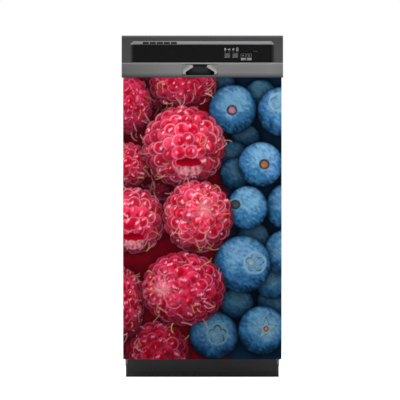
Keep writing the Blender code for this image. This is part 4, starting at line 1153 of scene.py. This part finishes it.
def makeShelf():
    x0, x1, y0, y1, z0, z1 = edges("cup_shelf")
    r, z = (z1 - z0) / 2, (z0 + z1) / 2
    outline = [(x0 + r, y0 + r, z), (x1 - r, y0 + r, z), (x1 - r, y1 - r, z), (x0 + r, y1 - r, z)]
    parts = [wire(roundedRoute(outline, 10 * mm, 5, closed=True), r, closed=True)]
    for y in np.linspace(y0, y1, rackLook["shelfWires"] + 2)[1:-1]:
        parts.append(wire(np.linspace((x0 + r, y, z), (x1 - r, y, z), 4), r * 0.8))
    hungWires("cup_shelf", parts)


makeRack("lower_rack", (0.34, 0.68, 1.0), 22 * mm)
makeRack("upper_rack", (0.45, 1.0), 0)
makeTines()
makeShelf()
print("racks made")


# Rear panel

rearLook = {
    "cell": 5.0 * mm,
    "depth": 5.0 * mm,
    "slope": 7.0 * mm,
    "sheet": 0.7 * mm,
    "skin": 1.0 * mm,  # how far the sheet's face lies inside the panel's box
    "ribs": 5,
    "ribWidth": 6.0 * mm,
    "ribLift": 3.0 * mm,
    "edge": 26.0 * mm,
    "split": 0.80,  # how far up the upper field starts
    "louvreRows": 5,
    "louvreX": (-95 * mm, 0.0, 95 * mm),
    "screws": 6,
}


def makeRear():
    # a pressed sheet: y goes in by the depth over two fields with sloping edges, and out again along each rib
    # by e to the -(distance / width) squared
    look = rearLook
    x0, x1, _, y1, z0, z1 = edges("rear_panel")
    columns, rows = (round(span / look["cell"]) + 1 for span in (x1 - x0, z1 - z0))
    x, z = np.meshgrid(np.linspace(x0, x1, columns), np.linspace(z0, z1, rows))
    edge, high = look["edge"], z0 + (z1 - z0) * look["split"]
    sunk, ribs = np.zeros_like(x), np.zeros_like(x)
    for low, top in ((z0 + edge, high - 8 * mm), (high + 8 * mm, z1 - edge)):
        inside = np.minimum(np.minimum(x - x0 - edge, x1 - edge - x), np.minimum(z - low, top - z))
        sunk = np.maximum(sunk, rise(0, look["slope"], inside))
    for k in range(1, look["ribs"] + 1):
        away = (z - z0 - (high - z0) * k / (look["ribs"] + 1)) / look["ribWidth"]
        ribs = np.maximum(ribs, np.exp(-(away**2)) * rise(0, 12 * mm, x1 - 46 * mm - np.abs(x)))
    skin = y1 - look["skin"]
    y = skin - sunk * look["depth"] + ribs * look["ribLift"] * sunk
    own = (bodyOf("rear_panel"), "zincPlatedSteel", "zinc_steel")
    sheet = [(np.stack([x, y, z], -1).reshape(-1, 3), gridFaces(rows, columns)[:, ::-1])]
    piece = makePiece("rear_panel_pressing", sheet, *own, ["rear_panel"], closed=False)
    wall = piece.modifiers.new("sheet", "SOLIDIFY")
    wall.thickness = look["sheet"]
    wall.offset = -1
    heights = [high + 34 * mm + row * 16 * mm for row in range(look["louvreRows"])]
    scoops = [louvre(spot, skin - look["depth"], up) for up in heights for spot in look["louvreX"]]
    makePiece("rear_louvres", scoops, *own)
    side, heights = x1 - 11 * mm, np.linspace(z0 + 20 * mm, z1 - 20 * mm, look["screws"])
    spots = [(way * side, skin, up) for way in (-1, 1) for up in heights]
    heads = [screwHead(spot, (0, 1, 0), 3.6 * mm, 0.95 * mm) for spot in spots]
    makePiece("rear_screws", heads, *own)


def louvre(cx, y, cz, half=36 * mm, tall=5 * mm, lift=3.4 * mm):
    # a scoop: a half-ellipse across its width, a quarter-round up its height, closed below by its own lip
    u, v = np.meshgrid(np.linspace(-1, 1, 15), np.linspace(0, 1, 6))
    body = np.sqrt(np.clip(1 - u**4, 0, 1))
    x = cx + u * half
    z = cz + v * tall * body
    out = lift * body * np.cos(v * np.pi / 2)
    outer = np.stack([x, y + out, z], -1)
    root = np.full(15, y - 0.3 * mm)
    under = np.stack([x[0], root, np.full(15, cz)], -1)
    back = np.stack([x[-1], root, z[-1]], -1)
    points = np.concatenate([under[None], outer, back[None]])
    return points.reshape(-1, 3), gridFaces(8, 15, closeRows=True)


# radius and height, as shares: the rim, a quarter circle up to the crown, and a socket
screwProfile = ((1.0, 0.0), (1.0, 0.35), (0.93, 0.72), (0.75, 0.95), (0.5, 1.0), (0.42, 0.97))
screwProfile += ((0.40, 0.35), (0.02, 0.35))


def screwHead(spot, way, radius, height):
    way = np.asarray(way, float)
    side = np.eye(3)[np.argmin(np.abs(way))]
    return turned(screwProfile, 16, spot, side * radius, np.cross(way, side) * radius, way * height)


makeRear()
print("rear panel pressed")


# Springs and basket

springLook = {"wire": 0.9 * mm, "turns": 62, "perTurn": 12, "hook": 10 * mm}


def makeSpring(node):
    # a close-wound helix along Y: x and z go round a circle while y moves on, with a straight hook at each end
    look = springLook
    x0, x1, y0, y1, z0, z1 = edges(node)
    cx, cz, radius = (x0 + x1) / 2, (z0 + z1) / 2, (z1 - z0) / 2 - look["wire"]
    share = np.linspace(0, 1, look["turns"] * look["perTurn"])
    angle = share * look["turns"] * 2 * np.pi
    along = y0 + look["hook"] + share * (y1 - y0 - 2 * look["hook"])
    coil = np.stack([cx + radius * np.cos(angle), along, cz + radius * np.sin(angle)], 1)
    start = [(cx, y0 + look["wire"], cz), (cx, y0 + 6 * mm, cz)]
    end = [(cx, y1 - 6 * mm, cz), (cx, y1 - look["wire"], cz)]
    parts = [wire(np.concatenate([start, coil, end]), look["wire"], 6)]
    makePiece(node + "_coil", parts, bodyOf(node), "zincPlatedSteel", "zinc_steel", [node])


basketLook = {
    "slat": 5.5 * mm,
    "gap": 4.5 * mm,
    "wall": 2.0 * mm,
    "band": 9.0 * mm,
    "skin": 0.3 * mm,
    "end": 4.0 * mm,
}


def crate(x0, x1, y0, y1, z0, z1):  # a plain straight bar between two corners, with softened long edges
    return slab(roundedBox2d(x0, x1, z0, z1, min(x1 - x0, z1 - z0) * 0.2, 2), y0, y1)


def makeBasket():
    # walls of upright slats between a foot band and a rim band, two dividers, and a floor of crossing slats
    look = basketLook
    x0, x1, y0, y1, z0, z1 = edges("cutlery_basket")
    wall, band, slat, skin = look["wall"], look["band"], look["slat"], look["skin"]
    thin, low, high = wall * 0.7, z0 + 1 * mm, z1 - 1 * mm
    parts = []
    for z in (z0, (z0 + z1) / 2 - band / 2, z1 - band):
        parts += [crate(x, x + wall, y0, y1, z, z + band) for x in (x0, x1 - wall)]
        parts += [crate(x0, x1, y, y + wall, z, z + band) for y in (y0, y1 - wall)]
    for y in np.arange(y0 + look["end"], y1 - slat, slat + look["gap"]):
        parts += [crate(x, x + thin, y, y + slat, low, high) for x in (x0 + skin, x1 - skin - thin)]
        parts.append(crate(x0 + 1 * mm, x1 - 1 * mm, y, y + slat, z0 + 0.2 * mm, z0 + 1.6 * mm))
    for x in np.arange(x0 + look["end"], x1 - slat, slat + look["gap"]):
        parts += [crate(x, x + slat, y, y + thin, low, high) for y in (y0 + skin, y1 - skin - thin)]
        parts.append(crate(x, x + slat, y0 + 1 * mm, y1 - 1 * mm, z0 + 0.6 * mm, z0 + 2.0 * mm))
    for share in (1 / 3, 2 / 3):
        y = y0 + (y1 - y0) * share
        parts.append(crate(x0 + wall, x1 - wall, y - thin / 2, y + thin / 2, low, z1 - 2 * mm))
    own = (bodyOf("cutlery_basket"), "greyPolypropylene", "grey_plastic", ["cutlery_basket"])
    makePiece("cutlery_basket_slats", parts, *own, smooth=False)


for side in ("left", "right"):
    makeSpring("door_spring_" + side)
makeBasket()
print("springs and basket made")


# Screws and nozzles


def makeSideScrews():
    # pan heads along the foot of each side panel and up its rear edge
    for side, way in (("left", -1), ("right", 1)):
        node = "side_panel_" + side
        x0, x1, y0, y1, z0, z1 = edges(node)
        face = x0 if way < 0 else x1
        spots = [(face, y, z0 + 12 * mm) for y in np.linspace(y0 + 60 * mm, y1 - 16 * mm, 4)]
        spots += [(face, y1 - 14 * mm, z) for z in np.linspace(z0 + 60 * mm, z1 - 16 * mm, 5)]
        heads = [screwHead(spot, (way, 0, 0), 3.4 * mm, 1.5 * mm) for spot in spots]
        makePiece("side_screws_" + side, heads, bodyOf(node), "zincPlatedSteel", "zinc_steel")


nozzleLook = {
    "rim": 4.2 * mm,
    "stretch": 1.35,
    "rise": 0.9 * mm,
    "lean": 0.12,
    "each": 4,
    "spread": (0.28, 0.19),  # the first one's place out from the middle and the step, as shares of half the arm
    # radius and height, as shares: an oval ring round a jet hole
    "profile": ((1.0, -0.6), (1.0, 0.3), (0.88, 1.0), (0.62, 1.0), (0.52, 0.5), (0.50, -0.2), (0.03, -0.2)),
}


def makeNozzles(node):
    look = nozzleLook
    x0, x1, y0, y1, _, _ = edges(node)
    cx, cy, rim = (x0 + x1) / 2, (y0 + y1) / 2, look["rim"]
    along = (x1 - x0) >= (y1 - y0)
    half = max(x1 - x0, y1 - y0) / 2
    first, step = look["spread"]
    parts = []
    for way in (-1, 1):
        for k in range(look["each"]):
            out = way * half * (first + step * k)
            x, y = (cx + out, cy) if along else (cx, cy + out)
            hit, place, _, _ = nodes[node].ray_cast((x, y, 2.0), (0, 0, -1))
            top = place.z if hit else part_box(node)[1].z
            across = np.array([1, 0, look["lean"] * way]) * look["stretch"] * rim
            up = (0, 0, look["rise"])
            parts.append(turned(look["profile"], 14, (x, y, top), across, np.array([0, rim, 0]), up))
    makePiece(node + "_nozzles", parts, bodyOf(node), "blackPolypropylene", "grey_plastic")


makeSideScrews()
makeNozzles("lower_spray_arm")
makeNozzles("upper_spray_arm")
print("screws and nozzles made")
